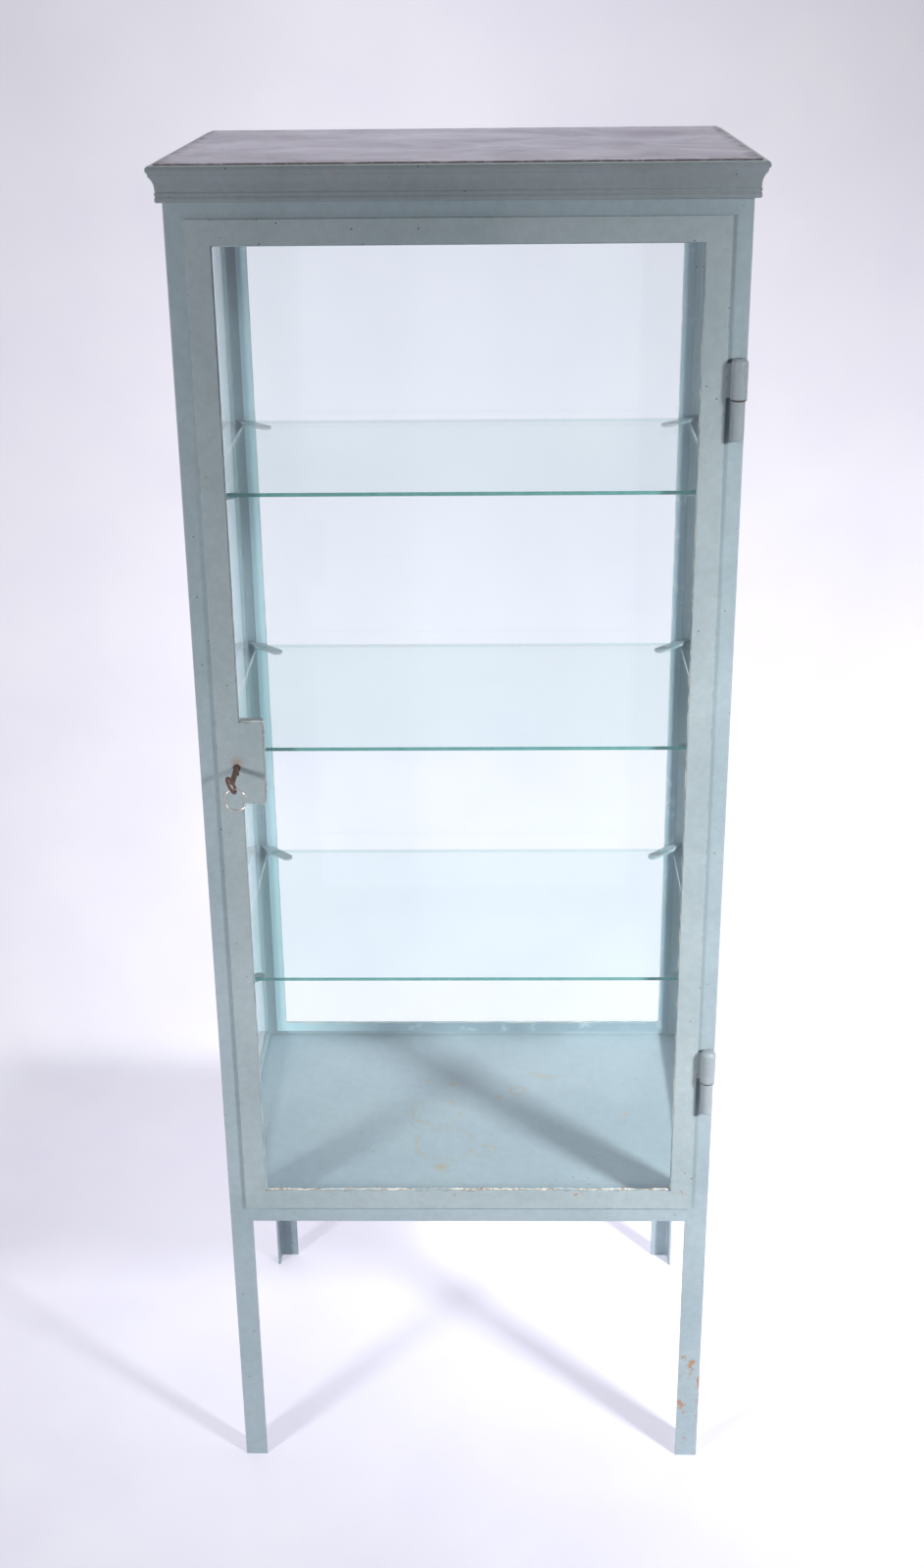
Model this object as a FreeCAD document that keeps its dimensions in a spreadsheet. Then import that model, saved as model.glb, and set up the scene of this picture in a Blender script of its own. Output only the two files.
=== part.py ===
"""Glazed steel display cabinet on legs, one hinged door, three glass shelves.

Sizes are in millimetres, +Z is up and the door faces -Y. The frame's origin lies
on the floor, in the middle of the whole outline, key included.
"""
import FreeCAD, Part
import Sketcher
import math
import os

Vector = FreeCAD.Vector
# points closer than this are one point, and a cut takes away at least this much
NEAR = 1e-3
CUT_LEAST = 0.5

SIZES = {
    # whole cabinet, over the posts
    "wide": 560, "deep": 408, "y_shift": 30.9,
    # corner posts and rails of rolled angle
    "leg": 26, "steel": 3, "root_rad": 3, "toe_rad": 1.5, "arris_rad": 0.8,
    "post_high": 1539, "sill_low": 348.5, "upstand": 35, "lintel_low": 1483.5,
    # floor pan and top sheet
    "floor_top": 365, "sheet": 1.5, "pan_gap": 0.5, "pan_clip": 5, "lip_in": 3, "pan_rad": 1,
    "top_side": 5, "top_front": 7, "top_back": 2,
    # cornice, seen from its top downwards
    "cornice_high": 34, "reach_top": 9.5, "reach_fillet": 10.4, "reach_foot": 5.5, "reach_quirk": 4.9,
    "bead_low": 7.2, "fillet_low": 9.6, "cove_low": 23, "quirk_low": 24.2, "reed_low": 28.4,
    "bead_rad": 3.976, "cove_rad": 17.086, "reed_rad": 2.5545, "foot_reed_rad": 4.1136,
    "cornice_wall": 1.4, "core_in": 2, "mitre_past": 2, "mitre_clear": 20,
    # fixed panes in putty
    "glass": 3, "putty": 1.2, "lap": 12.5, "squeeze": 0.8,
    # shelves and their supports
    "shelf_glass": 5, "shelf_half": 262, "shelf_front": 174, "shelf_back": 170,
    "shelf_clip": 12, "shelf_nip": 5,
    "shelf_upper": 1217, "shelf_middle": 938, "shelf_lower": 658,
    "finger_long": 64, "finger_half": 6.25, "neck_half": 3.4, "neck_long": 18, "weld_half": 2.3,
    "neck_flare": 4, "finger_flat": 0.4,
    # door frame
    "door_half": 260.4, "door_low": 369, "door_high": 1489.5, "door_gap": 1,
    "bar_wide": 24.6, "web_in": 8.4, "web_deep": 15, "bed_gap": 0.5,
    # lift-off hinges
    "axis_x": 272, "axis_out": 9, "seam_upper": 1316.2, "seam_lower": 544.5, "knuckle_long": 40.3,
    "door_knuckle": 8.3, "post_knuckle": 6.8, "pin_rad": 3.5, "run_fit": 0.05, "press_gap": 0.02,
    "seam_half": 0.15, "pin_up": 30, "pin_down": 34, "dome_rad": 5.5, "foot_rad": 2, "lug_half": 4,
    "lug_lap": 1, "leaf_lap": 2, "pin_room": 1,
    # lock and key
    "key_x": 240.4, "key_z": 928, "hole_rad": 4, "slot_half": 1.9, "slot_long": 9,
    "plate_in": 211, "plate_low": 887, "plate_high": 979, "plate_round": 6, "plate_clip": 2.5,
    "case_in": 212, "case_low": 888, "case_high": 978, "case_deep": 13.5, "case_wall": 1.5,
    "case_round": 3, "cut_past": 1,
    "bolt_low": 937, "bolt_high": 951, "bolt_thick": 5.5, "bolt_back": 4.8, "bolt_gap": 0.5,
    "bolt_tip": 252.3, "bolt_long": 30, "bolt_round": 1.5, "notch_gap": 2,
    "shank_rad": 3, "shank_out": 40, "shank_in": 13, "bow_ring": 8.5, "bow_wire": 1.6,
    "bit_high": 7.4, "bit_long": 8, "bit_half": 1.4, "key_tilt": 27,
    "ring_rad": 11.6, "ring_wire": 0.85, "ring_gap": 0.25,
}

# local x, y, z become: along the wall, up, out of the wall (front wall, before its turn)
PANE_TURN = FreeCAD.Rotation(Vector(1, 0, 0), 90)
# local x, y, z become: into the cabinet, up, along the wall (front wall, before its turn)
RAIL_TURN = FreeCAD.Rotation(Vector(1, 1, 1), 120)
FLAT = FreeCAD.Rotation()
# every wall is the front wall turned about Z, with its outer face and half length
WALLS = {
    "front": (0, "deep / 2", "wide / 2"),
    "right": (90, "wide / 2", "deep / 2"),
    "rear": (180, "deep / 2", "wide / 2"),
    "left": (270, "wide / 2", "deep / 2"),
}


def sized(text):
    """Point every size name in an expression at the sheet."""
    words = text.replace("(", "( ").replace(")", " )").split()
    return " ".join("sizes." + word if word.lstrip("-") in SIZES else word for word in words)


def bind(thing, prop, text):
    """Bind a property to an expression written with size names."""
    thing.setExpression(prop, sized(text))


def make_sheet(doc):
    """Write every driving size into the sheet under its own name."""
    sheet = doc.addObject("Spreadsheet::Sheet", "sizes")
    for row, (name, value) in enumerate(SIZES.items(), start=1):
        sheet.set("A%d" % row, str(value))
        sheet.setAlias("A%d" % row, name)
    doc.recompute()


def place(thing, x, y, z, turn=FLAT):
    """Stand a sub-part in the frame at an expression for each coordinate."""
    thing.Placement = FreeCAD.Placement(Vector(0, 0, 0), turn)
    bind(thing, "Placement.Base.x", x)
    bind(thing, "Placement.Base.y", "( %s ) + y_shift" % y)
    bind(thing, "Placement.Base.z", z)


def new_body(doc, label, x, y, z, turn=FLAT):
    """Start an empty body that carries its own name and place."""
    body = doc.addObject("PartDesign::Body", label)
    body.Label = label
    place(body, x, y, z, turn)
    return body


def wall_body(doc, label, wall, out, along, up, base_turn):
    """Start a body on one wall: out from the wall's outer face, along it, and up."""
    turn, face, _ = WALLS[wall]
    across = {
        0: (along, "-1 * ( %s + ( %s ) )" % (face, out)),
        90: ("%s + ( %s )" % (face, out), along),
        180: ("-1 * ( %s )" % along, "%s + ( %s )" % (face, out)),
        270: ("-1 * ( %s + ( %s ) )" % (face, out), "-1 * ( %s )" % along),
    }[turn]
    spin = FreeCAD.Rotation(Vector(0, 0, 1), turn)
    return new_body(doc, label, across[0], across[1], up, spin.multiply(base_turn))


def new_sketch(body, plane="XY_Plane"):
    """Start a sketch on one of the body's own origin planes."""
    sketch = body.newObject("Sketcher::SketchObject", "profile")
    support = [item for item in body.Origin.OriginFeatures if item.Role == plane][0]
    sketch.AttachmentSupport = [(support, "")]
    sketch.MapMode = "FlatFace"
    return sketch


def pin_point(sketch, geometry, end, x, y, drawn_at=(1.0, 1.0)):
    """Hold one point of a sketch at expressions measured from its origin."""
    for kind, text, now in (("DistanceX", x, drawn_at[0]), ("DistanceY", y, drawn_at[1])):
        index = sketch.addConstraint(Sketcher.Constraint(kind, -1, 1, geometry, end, now))
        bind(sketch, "Constraints[%d]" % index, text)


def outline(sketch, corners):
    """Draw a closed outline of straight lines, every corner held by expressions."""
    count = len(corners)
    first = sketch.GeometryCount
    start = [
        Vector(math.cos(2 * math.pi * i / count), math.sin(2 * math.pi * i / count), 0)
        for i in range(count)
    ]
    for i in range(count):
        sketch.addGeometry(Part.LineSegment(start[i], start[(i + 1) % count]))
    for i in range(count):
        link = Sketcher.Constraint("Coincident", first + i, 2, first + (i + 1) % count, 1)
        sketch.addConstraint(link)
    for i, (x, y) in enumerate(corners):
        pin_point(sketch, first + i, 1, x, y)


def box_outline(sketch, low_x, low_y, high_x, high_y):
    """Draw an upright rectangle between two opposite corners."""
    outline(sketch, [(low_x, low_y), (high_x, low_y), (high_x, high_y), (low_x, high_y)])


def round_outline(sketch, x, y, radius):
    """Draw a circle with its centre and radius held by expressions."""
    index = sketch.addGeometry(Part.Circle(Vector(0, 0, 0), Vector(0, 0, 1), 1.0))
    pin_point(sketch, index, 3, x, y)
    held = sketch.addConstraint(Sketcher.Constraint("Radius", index, 1.0))
    bind(sketch, "Constraints[%d]" % held, radius)


def lift(sketch, text):
    """Shift a sketch along its own normal."""
    bind(sketch, "AttachmentOffset.Base.z", text)


def pad(body, sketch, length, back=False):
    """Add a sketch's area as a solid along its normal, or against it."""
    feature = body.newObject("PartDesign::Pad", "pad")
    feature.Profile = sketch
    feature.Reversed = back
    bind(feature, "Length", length)
    body.Document.recompute()
    return feature


def pocket(body, sketch, length, along_normal=False):
    """Cut a sketch's area against its normal, or along it, and make sure it cuts."""
    before = body.Shape.Volume
    feature = body.newObject("PartDesign::Pocket", "pocket")
    feature.Profile = sketch
    feature.Reversed = along_normal
    bind(feature, "Length", length)
    body.Document.recompute()
    if body.Shape.Volume > before - CUT_LEAST:
        raise RuntimeError("pocket of %s removes nothing" % body.Label)
    return feature


def long_edges(shape, spots, axis):
    """Name the straight edges along one local axis that pass through the spots."""
    names = []
    for number, edge in enumerate(shape.Edges, start=1):
        ends = [vertex.Point for vertex in edge.Vertexes]
        if len(ends) != 2:
            continue
        keep = [i for i in range(3) if i != axis]
        if any(abs(ends[0][i] - ends[1][i]) > NEAR for i in keep):
            continue
        where = (ends[0][keep[0]], ends[0][keep[1]])
        if any(abs(where[0] - x) < NEAR and abs(where[1] - y) < NEAR for x, y in spots):
            names.append("Edge%d" % number)
    return names


def ease(body, kind, edges, size):
    """Round or chamfer named edges of a body's last feature."""
    feature = body.newObject("PartDesign::" + kind, kind.lower())
    feature.Base = (body.Tip if body.Tip != feature else feature.BaseFeature, edges)
    bind(feature, "Radius" if kind == "Fillet" else "Size", size)
    body.Document.recompute()


def ease_at(body, kind, spots, size, axis=2):
    """Round or chamfer the long edges that pass through the spots."""
    ease(body, kind, long_edges(body.Tip.Shape, spots, axis), size)


def angle_bar(body, corners, length, root, toes, arris):
    """Pad a rolled angle and round its root, its toes and its outer corner."""
    sketch = new_sketch(body)
    outline(sketch, corners)
    pad(body, sketch, length)
    ease_at(body, "Fillet", [root], "root_rad")
    ease_at(body, "Fillet", toes, "toe_rad")
    ease_at(body, "Fillet", [arris], "arris_rad")


def add_posts(doc):
    """Four equal-angle corner posts, standing on the floor up to the top sheet."""
    leg, steel = SIZES["leg"], SIZES["steel"]
    corners = [
        ("0", "0"), ("leg", "0"), ("leg", "steel"),
        ("steel", "steel"), ("steel", "leg"), ("0", "leg"),
    ]
    stands = {
        "front_left_post": ("-1", "-1", 0), "front_right_post": ("1", "-1", 90),
        "rear_right_post": ("1", "1", 180), "rear_left_post": ("-1", "1", 270),
    }
    for label, (side, face, turn) in stands.items():
        spin = FreeCAD.Rotation(Vector(0, 0, 1), turn)
        body = new_body(doc, label, side + " * wide / 2", face + " * deep / 2", "0", spin)
        angle_bar(body, corners, "post_high", (steel, steel), [(leg, steel), (steel, leg)], (0, 0))


def add_rails(doc):
    """Rails of angle butted between the post flanges, and the strip that closes the back."""
    leg, steel, upstand = SIZES["leg"], SIZES["steel"], SIZES["upstand"]
    top = [
        ("0", "0"), ("steel", "0"), ("steel", "leg - steel"),
        ("leg", "leg - steel"), ("leg", "leg"), ("0", "leg"),
    ]
    for wall, (_, _, half) in WALLS.items():
        length = "2 * ( %s - leg )" % half
        start = "leg - %s" % half
        body = wall_body(doc, wall + "_top_rail", wall, "0", start, "lintel_low", RAIL_TURN)
        shelf = leg - steel
        angle_bar(body, top, length, (steel, shelf), [(steel, 0), (leg, shelf)], (0, leg))
        rise_name, rise = ("leg", leg) if wall == "front" else ("upstand", upstand)
        low = [
            ("0", "0"), ("leg", "0"), ("leg", "steel"),
            ("steel", "steel"), ("steel", rise_name), ("0", rise_name),
        ]
        body = wall_body(doc, wall + "_bottom_rail", wall, "0", start, "sill_low", RAIL_TURN)
        angle_bar(body, low, length, (steel, steel), [(steel, rise), (leg, steel)], (0, 0))
    body = wall_body(doc, "rear_fascia", "rear", "-1 * steel", "0", "lintel_low + leg", PANE_TURN)
    sketch = new_sketch(body)
    box_outline(sketch, "leg - wide / 2", "0", "wide / 2 - leg", "post_high - lintel_low - leg")
    pad(body, sketch, "steel")


def add_floor(doc):
    """Floor pan of sheet steel, lips turned down onto the bottom rails."""
    body = new_body(doc, "floor_pan", "0", "0", "floor_top")
    half_x = "wide / 2 - steel - pan_gap"
    half_y = "deep / 2 - steel - pan_gap"
    sketch = new_sketch(body)
    clipped_outline(sketch, half_x, half_y, half_y, "pan_clip", "pan_clip")
    pad(body, sketch, "sheet", back=True)
    lips = new_sketch(body)
    for inset in (" - lip_in", " - lip_in - sheet"):
        clipped_outline(lips, half_x + inset, half_y + inset, half_y + inset, "pan_clip", "pan_clip")
    pad(body, lips, "floor_top - sill_low - steel", back=True)
    edge_x = SIZES["wide"] / 2 - SIZES["steel"] - SIZES["pan_gap"]
    edge_y = SIZES["deep"] / 2 - SIZES["steel"] - SIZES["pan_gap"]
    ease_at(body, "Fillet", [(-edge_y, 0), (edge_y, 0)], "pan_rad", 0)
    ease_at(body, "Fillet", [(-edge_x, 0), (edge_x, 0)], "pan_rad", 1)


def clipped_outline(sketch, half_x, front, back, front_clip, back_clip):
    """Draw a rectangle with its corners cut off, front towards -y."""
    outline(sketch, [
        ("-1 * ( %s ) + %s" % (half_x, front_clip), "-1 * ( %s )" % front),
        ("%s - %s" % (half_x, front_clip), "-1 * ( %s )" % front),
        (half_x, "%s - ( %s )" % (front_clip, front)),
        (half_x, "%s - %s" % (back, back_clip)),
        ("%s - %s" % (half_x, back_clip), back),
        ("-1 * ( %s ) + %s" % (half_x, back_clip), back),
        ("-1 * ( %s )" % half_x, "%s - %s" % (back, back_clip)),
        ("-1 * ( %s )" % half_x, "%s - ( %s )" % (front_clip, front)),
    ])


def add_top(doc):
    """Thin top sheet lying on the post heads and the cornice."""
    body = new_body(doc, "top_plate", "0", "0", "post_high")
    sketch = new_sketch(body)
    box_outline(
        sketch,
        "-1 * ( wide / 2 + top_side )", "-1 * ( deep / 2 + top_front )",
        "wide / 2 + top_side", "deep / 2 - top_back",
    )
    pad(body, sketch, "sheet")


def total(terms):
    """Add up sizes, each taken a number of times."""
    return sum(times * SIZES[name] for name, times in terms.items())


def summed(terms):
    """Write the same sum as an expression."""
    return " + ".join("%d * %s" % (times, name) for name, times in terms.items()) or "0"


def bowed(start, end, radius, hollow):
    """Arc between two points, bulging to the right of the way from start to end, or hollow to the left."""
    chord = end - start
    rise = radius - math.sqrt(radius ** 2 - chord.Length ** 2 / 4)
    aside = Vector(chord.y, -chord.x, 0).normalize()
    return Part.Arc(start, (start + end) / 2 + aside * (-rise if hollow else rise), end)


def cornice_sketch(body):
    """Section of the hollow cornice: bead, fillet, cove and two reeds, outwards is -x."""
    corners = [
        ({}, {}),
        ({"reach_top": -1}, {}),
        ({"reach_fillet": -1}, {"bead_low": -1}),
        ({"reach_fillet": -1}, {"fillet_low": -1}),
        ({"reach_foot": -1}, {"cove_low": -1}),
        ({"reach_quirk": -1}, {"quirk_low": -1}),
        ({"reach_quirk": -1}, {"reed_low": -1}),
        ({"reach_quirk": -1}, {"cornice_high": -1}),
        ({}, {"cornice_high": -1}),
        ({}, {"cornice_high": -1, "cornice_wall": 1}),
        ({"reach_quirk": -1, "cornice_wall": 1}, {"cornice_high": -1, "cornice_wall": 1}),
        ({"reach_quirk": -1, "cornice_wall": 1}, {"cove_low": -1, "cornice_wall": 1}),
        ({"reach_fillet": -1, "core_in": 1}, {"fillet_low": -1}),
        ({"reach_fillet": -1, "core_in": 1}, {"cornice_wall": -1}),
        ({}, {"cornice_wall": -1}),
    ]
    arcs = {
        1: ("bead_rad", False), 3: ("cove_rad", True),
        5: ("reed_rad", False), 6: ("foot_reed_rad", False),
    }
    sketch = new_sketch(body)
    spots = [Vector(total(x), total(y), 0) for x, y in corners]
    count = len(spots)
    first_end = []
    for i, spot in enumerate(spots):
        ahead = spots[(i + 1) % count]
        if i in arcs:
            radius, hollow = arcs[i]
            sketch.addGeometry(bowed(spot, ahead, SIZES[radius], hollow))
        else:
            sketch.addGeometry(Part.LineSegment(spot, ahead))
        starts_here = (sketch.getPoint(i, 1) - spot).Length < NEAR
        first_end.append(1 if starts_here else 2)
    for i, (x, y) in enumerate(corners):
        after = (i + 1) % count
        link = Sketcher.Constraint("Coincident", i, 3 - first_end[i], after, first_end[after])
        sketch.addConstraint(link)
        pin_point(sketch, i, first_end[i], summed(x), summed(y), spots[i])
        if i in arcs:
            held = sketch.addConstraint(Sketcher.Constraint("Radius", i, SIZES[arcs[i][0]]))
            bind(sketch, "Constraints[%d]" % held, arcs[i][0])
    return sketch


def mitre(body, run, far):
    """Cut one end of a cornice run at 45 degrees, at its start or at its far end."""
    sign = "1" if far else "-1"
    sketch = new_sketch(body, "XZ_Plane")
    outline(sketch, [
        ("mitre_past", "%s - %s * mitre_past" % (run, sign)),
        ("mitre_past", "%s + %s * mitre_clear" % (run, sign)),
        ("-1 * mitre_clear", "%s + %s * mitre_clear" % (run, sign)),
    ])
    lift(sketch, "cornice_high + mitre_past")
    pocket(body, sketch, "cornice_high + mitre_clear")


def add_cornice(doc):
    """Three cornice runs on the post faces, mitred at the two front corners."""
    spare = "reach_top + bead_rad + mitre_past"
    runs = {
        "cornice_front": ("front", "-1 * wide / 2", "wide", True, True),
        "cornice_right": ("right", "-1 * deep / 2", "deep", True, False),
        "cornice_left": ("left", "-1 * deep / 2", "deep", False, True),
    }
    for label, (wall, start, run, near, far) in runs.items():
        body = wall_body(doc, label, wall, "0", start, "post_high", RAIL_TURN)
        sketch = cornice_sketch(body)
        lift(sketch, "-1 * ( %s )" % spare if near else "0")
        pad(body, sketch, "%s + %d * ( %s )" % (run, near + far, spare))
        if near:
            mitre(body, "0", False)
        if far:
            mitre(body, run, True)


def add_panes(doc):
    """Fixed panes and their putty beds inside the back, left and right openings."""
    low = "sill_low + upstand - lap"
    high = "lintel_low + lap"
    for wall, name in (("rear", "back"), ("left", "left"), ("right", "right")):
        half = "%s - leg + lap" % WALLS[wall][2]
        body = wall_body(doc, name + "_glass", wall, "-1 * ( steel + putty + glass )", "0", "0", PANE_TURN)
        sketch = new_sketch(body)
        box_outline(sketch, "-1 * ( %s )" % half, low, half, high)
        pad(body, sketch, "glass")
        body = wall_body(doc, name + "_putty", wall, "-1 * ( steel + putty )", "0", "0", PANE_TURN)
        sketch = new_sketch(body)
        box_outline(sketch, "-1 * ( %s )" % half, low, half, high)
        inner = "%s - lap - squeeze" % half
        box_outline(
            sketch, "-1 * ( %s )" % inner, low + " + lap + squeeze", inner, high + " - lap - squeeze"
        )
        pad(body, sketch, "putty")


def add_shelves(doc):
    """Three glass shelves and the twelve fingers they lie on."""
    corner_x = "wide / 2 - steel"
    corner_y = "deep / 2 - steel"
    corners = {
        "front_left": ("-1", "-1", 45), "front_right": ("1", "-1", 135),
        "rear_right": ("1", "1", 225), "rear_left": ("-1", "1", 315),
    }
    for level in ("upper", "middle", "lower"):
        top = "shelf_" + level
        body = new_body(doc, level + "_shelf", "0", "0", top + " - shelf_glass")
        sketch = new_sketch(body)
        clipped_outline(sketch, "shelf_half", "shelf_front", "shelf_back", "shelf_nip", "shelf_clip")
        pad(body, sketch, "shelf_glass")
        for corner, (side, face, turn) in corners.items():
            spin = FreeCAD.Rotation(Vector(0, 0, 1), turn)
            body = new_body(
                doc, "%s_%s_support" % (level, corner),
                "%s * ( %s )" % (side, corner_x), "%s * ( %s )" % (face, corner_y),
                top + " - shelf_glass", spin,
            )
            add_finger(body)


def add_finger(body):
    """Flat finger: weld nose in the post's corner, narrow neck, broad round-ended tongue."""
    sketch = new_sketch(body)
    outline(sketch, [
        ("weld_half", "-1 * weld_half"), ("neck_half", "-1 * neck_half"),
        ("neck_long", "-1 * neck_half"), ("neck_long + neck_flare", "-1 * finger_half"),
        ("finger_long", "-1 * finger_half"), ("finger_long", "finger_half"),
        ("neck_long + neck_flare", "finger_half"), ("neck_long", "neck_half"),
        ("neck_half", "neck_half"), ("weld_half", "weld_half"),
    ])
    pad(body, sketch, "steel", back=True)
    tip, half = SIZES["finger_long"], SIZES["finger_half"]
    ease_at(body, "Fillet", [(tip, -half), (tip, half)], "finger_half - finger_flat")


def add_hinges(doc):
    """Two lift-off hinges: the door's knuckle turns on a pin held in the post's knuckle."""
    for level in ("upper", "lower"):
        seam = "seam_" + level
        spot = ("axis_x", "-1 * ( deep / 2 + axis_out )")
        add_door_knuckle(new_body(doc, level + "_hinge_door_knuckle", *spot, seam + " + seam_half"))
        add_post_knuckle(new_body(doc, level + "_hinge_post_knuckle", *spot, seam + " - seam_half"))
        body = new_body(doc, level + "_hinge_pin", *spot, seam + " - pin_down")
        sketch = new_sketch(body)
        round_outline(sketch, "0", "0", "pin_rad")
        pad(body, sketch, "pin_down + pin_up")


def turned(body, corners):
    """Turn a half section, radius and height, once round the body's Z axis."""
    sketch = new_sketch(body, "XZ_Plane")
    outline(sketch, corners)
    feature = body.newObject("PartDesign::Revolution", "turning")
    feature.Profile = sketch
    feature.ReferenceAxis = (sketch, ["V_Axis"])
    feature.Angle = 360
    body.Document.recompute()


def rim_edges(shape, radius, height):
    """Name the round edges of one radius at one height."""
    return [
        "Edge%d" % number for number, edge in enumerate(shape.Edges, start=1)
        if isinstance(edge.Curve, Part.Circle) and abs(edge.Curve.Radius - radius) < NEAR
        and abs(edge.Curve.Center.z - height) < NEAR
    ]


def add_door_knuckle(body):
    """Domed barrel with a blind bore for the pin and a leaf to the door's edge."""
    bore = "pin_rad + run_fit"
    turned(body, [
        (bore, "0"), ("door_knuckle", "0"), ("door_knuckle", "knuckle_long"),
        ("0", "knuckle_long"), ("0", "pin_up + pin_room"), (bore, "pin_up + pin_room"),
    ])
    rim = rim_edges(body.Tip.Shape, SIZES["door_knuckle"], SIZES["knuckle_long"])
    ease(body, "Fillet", rim, "dome_rad")
    sketch = new_sketch(body)
    box_outline(
        sketch, "door_half - axis_x", "axis_out - door_gap - steel",
        "-1 * leaf_lap", "axis_out - door_gap",
    )
    pad(body, sketch, "knuckle_long - dome_rad")


def add_post_knuckle(body):
    """Barrel that holds the pin, on a lug welded to the post's face."""
    bore = "pin_rad + press_gap"
    turned(body, [
        (bore, "0"), (bore, "-1 * pin_down"), ("0", "-1 * pin_down"),
        ("0", "-1 * knuckle_long"), ("post_knuckle", "-1 * knuckle_long"), ("post_knuckle", "0"),
    ])
    rim = rim_edges(body.Tip.Shape, SIZES["post_knuckle"], -SIZES["knuckle_long"])
    ease(body, "Fillet", rim, "foot_rad")
    sketch = new_sketch(body)
    box_outline(sketch, "-1 * lug_half", "pin_rad + lug_lap", "lug_half", "axis_out")
    pad(body, sketch, "knuckle_long - foot_rad - lug_lap", back=True)


def trapezium(ends, outer, inner, upright):
    """Corners of a mitred bar in the door's plane, its long edge on the door's rim."""
    low, high = ends
    spots = [(low[0], outer), (high[0], outer), (high[1], inner), (low[1], inner)]
    return [(across, along) for along, across in spots] if upright else spots


def add_door_frame(doc):
    """Four mitred T bars: flange on the door's face, web into the doorway."""
    bars = {
        "door_hinge_stile": ("door_half", "-1", "door_low", "door_high", True),
        "door_lock_stile": ("-1 * door_half", "1", "door_low", "door_high", True),
        "door_top_rail": ("door_high", "-1", "-1 * door_half", "door_half", False),
        "door_bottom_rail": ("door_low", "1", "-1 * door_half", "door_half", False),
    }
    for label, (rim, inward, low, high, upright) in bars.items():
        body = new_body(doc, label, "0", "-1 * ( deep / 2 + door_gap )", "0", PANE_TURN)
        flange = new_sketch(body)
        ends = ((low, low + " + bar_wide"), (high, high + " - bar_wide"))
        outline(flange, trapezium(ends, rim, "%s + %s * bar_wide" % (rim, inward), upright))
        pad(body, flange, "steel")
        web = new_sketch(body)
        deeper = "( web_in + steel )"
        near_end = (low + " + web_in", "%s + %s" % (low, deeper))
        far_end = (high + " - web_in", "%s - %s" % (high, deeper))
        sides = ("%s + %s * web_in" % (rim, inward), "%s + %s * %s" % (rim, inward, deeper))
        outline(web, trapezium((near_end, far_end), sides[0], sides[1], upright))
        pad(body, web, "web_deep", back=True)
        if label == "door_lock_stile":
            cut_lock_stile(body)


def cut_keyhole(body, front, depth):
    """Cut a keyhole: a round eye with a slot below it for the key's bit."""
    eye = new_sketch(body)
    lift(eye, front)
    round_outline(eye, "-1 * key_x", "key_z", "hole_rad")
    pocket(body, eye, depth)
    slot = new_sketch(body)
    lift(slot, front)
    box_outline(
        slot, "-1 * key_x - slot_half", "key_z - slot_long", "slot_half - key_x", "key_z"
    )
    pocket(body, slot, depth)


def cut_lock_stile(body):
    """Keyhole through the flange and a window for the bolt through the web."""
    cut_keyhole(body, "steel + cut_past", "steel + 2 * cut_past")
    window = new_sketch(body, "YZ_Plane")
    lift(window, "-1 * door_half + web_in - cut_past")
    bolt_window(window)
    pocket(body, window, "steel + 2 * cut_past", along_normal=True)


def bolt_window(sketch):
    """Draw the bolt's window, with a little play round the bolt."""
    box_outline(
        sketch, "bolt_low - bolt_gap", "-1 * ( bolt_back + bolt_thick + bolt_gap )",
        "bolt_high + bolt_gap", "bolt_gap - bolt_back",
    )


def add_door_pane(doc):
    """Door pane, notched round the lock, and the putty bed behind the frame."""
    half = "door_half - web_in - steel - bed_gap"
    low = "door_low + web_in + steel + bed_gap"
    high = "door_high - web_in - steel - bed_gap"
    notch = ("-1 * plate_in + notch_gap", "plate_low - notch_gap", "plate_high + notch_gap")
    body = new_body(doc, "door_glass", "0", "-1 * ( deep / 2 + door_gap - putty - glass )", "0", PANE_TURN)
    sketch = new_sketch(body)
    outline(sketch, [
        ("-1 * ( %s )" % half, low), (half, low), (half, high), ("-1 * ( %s )" % half, high),
        ("-1 * ( %s )" % half, notch[2]), (notch[0], notch[2]),
        (notch[0], notch[1]), ("-1 * ( %s )" % half, notch[1]),
    ])
    pad(body, sketch, "glass")
    body = new_body(doc, "door_putty", "0", "-1 * ( deep / 2 + door_gap - putty )", "0", PANE_TURN)
    sketch = new_sketch(body)
    outline(sketch, [
        ("-1 * ( %s )" % half, low), (half, low), (half, high), ("-1 * ( %s )" % half, high),
        ("-1 * ( %s )" % half, notch[2]), ("squeeze - door_half + bar_wide", notch[2]),
        ("squeeze - door_half + bar_wide", "door_high - bar_wide - squeeze"),
        ("door_half - bar_wide - squeeze", "door_high - bar_wide - squeeze"),
        ("door_half - bar_wide - squeeze", "door_low + bar_wide + squeeze"),
        ("squeeze - door_half + bar_wide", "door_low + bar_wide + squeeze"),
        ("squeeze - door_half + bar_wide", notch[1]), ("-1 * ( %s )" % half, notch[1]),
    ])
    pad(body, sketch, "putty")


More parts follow.
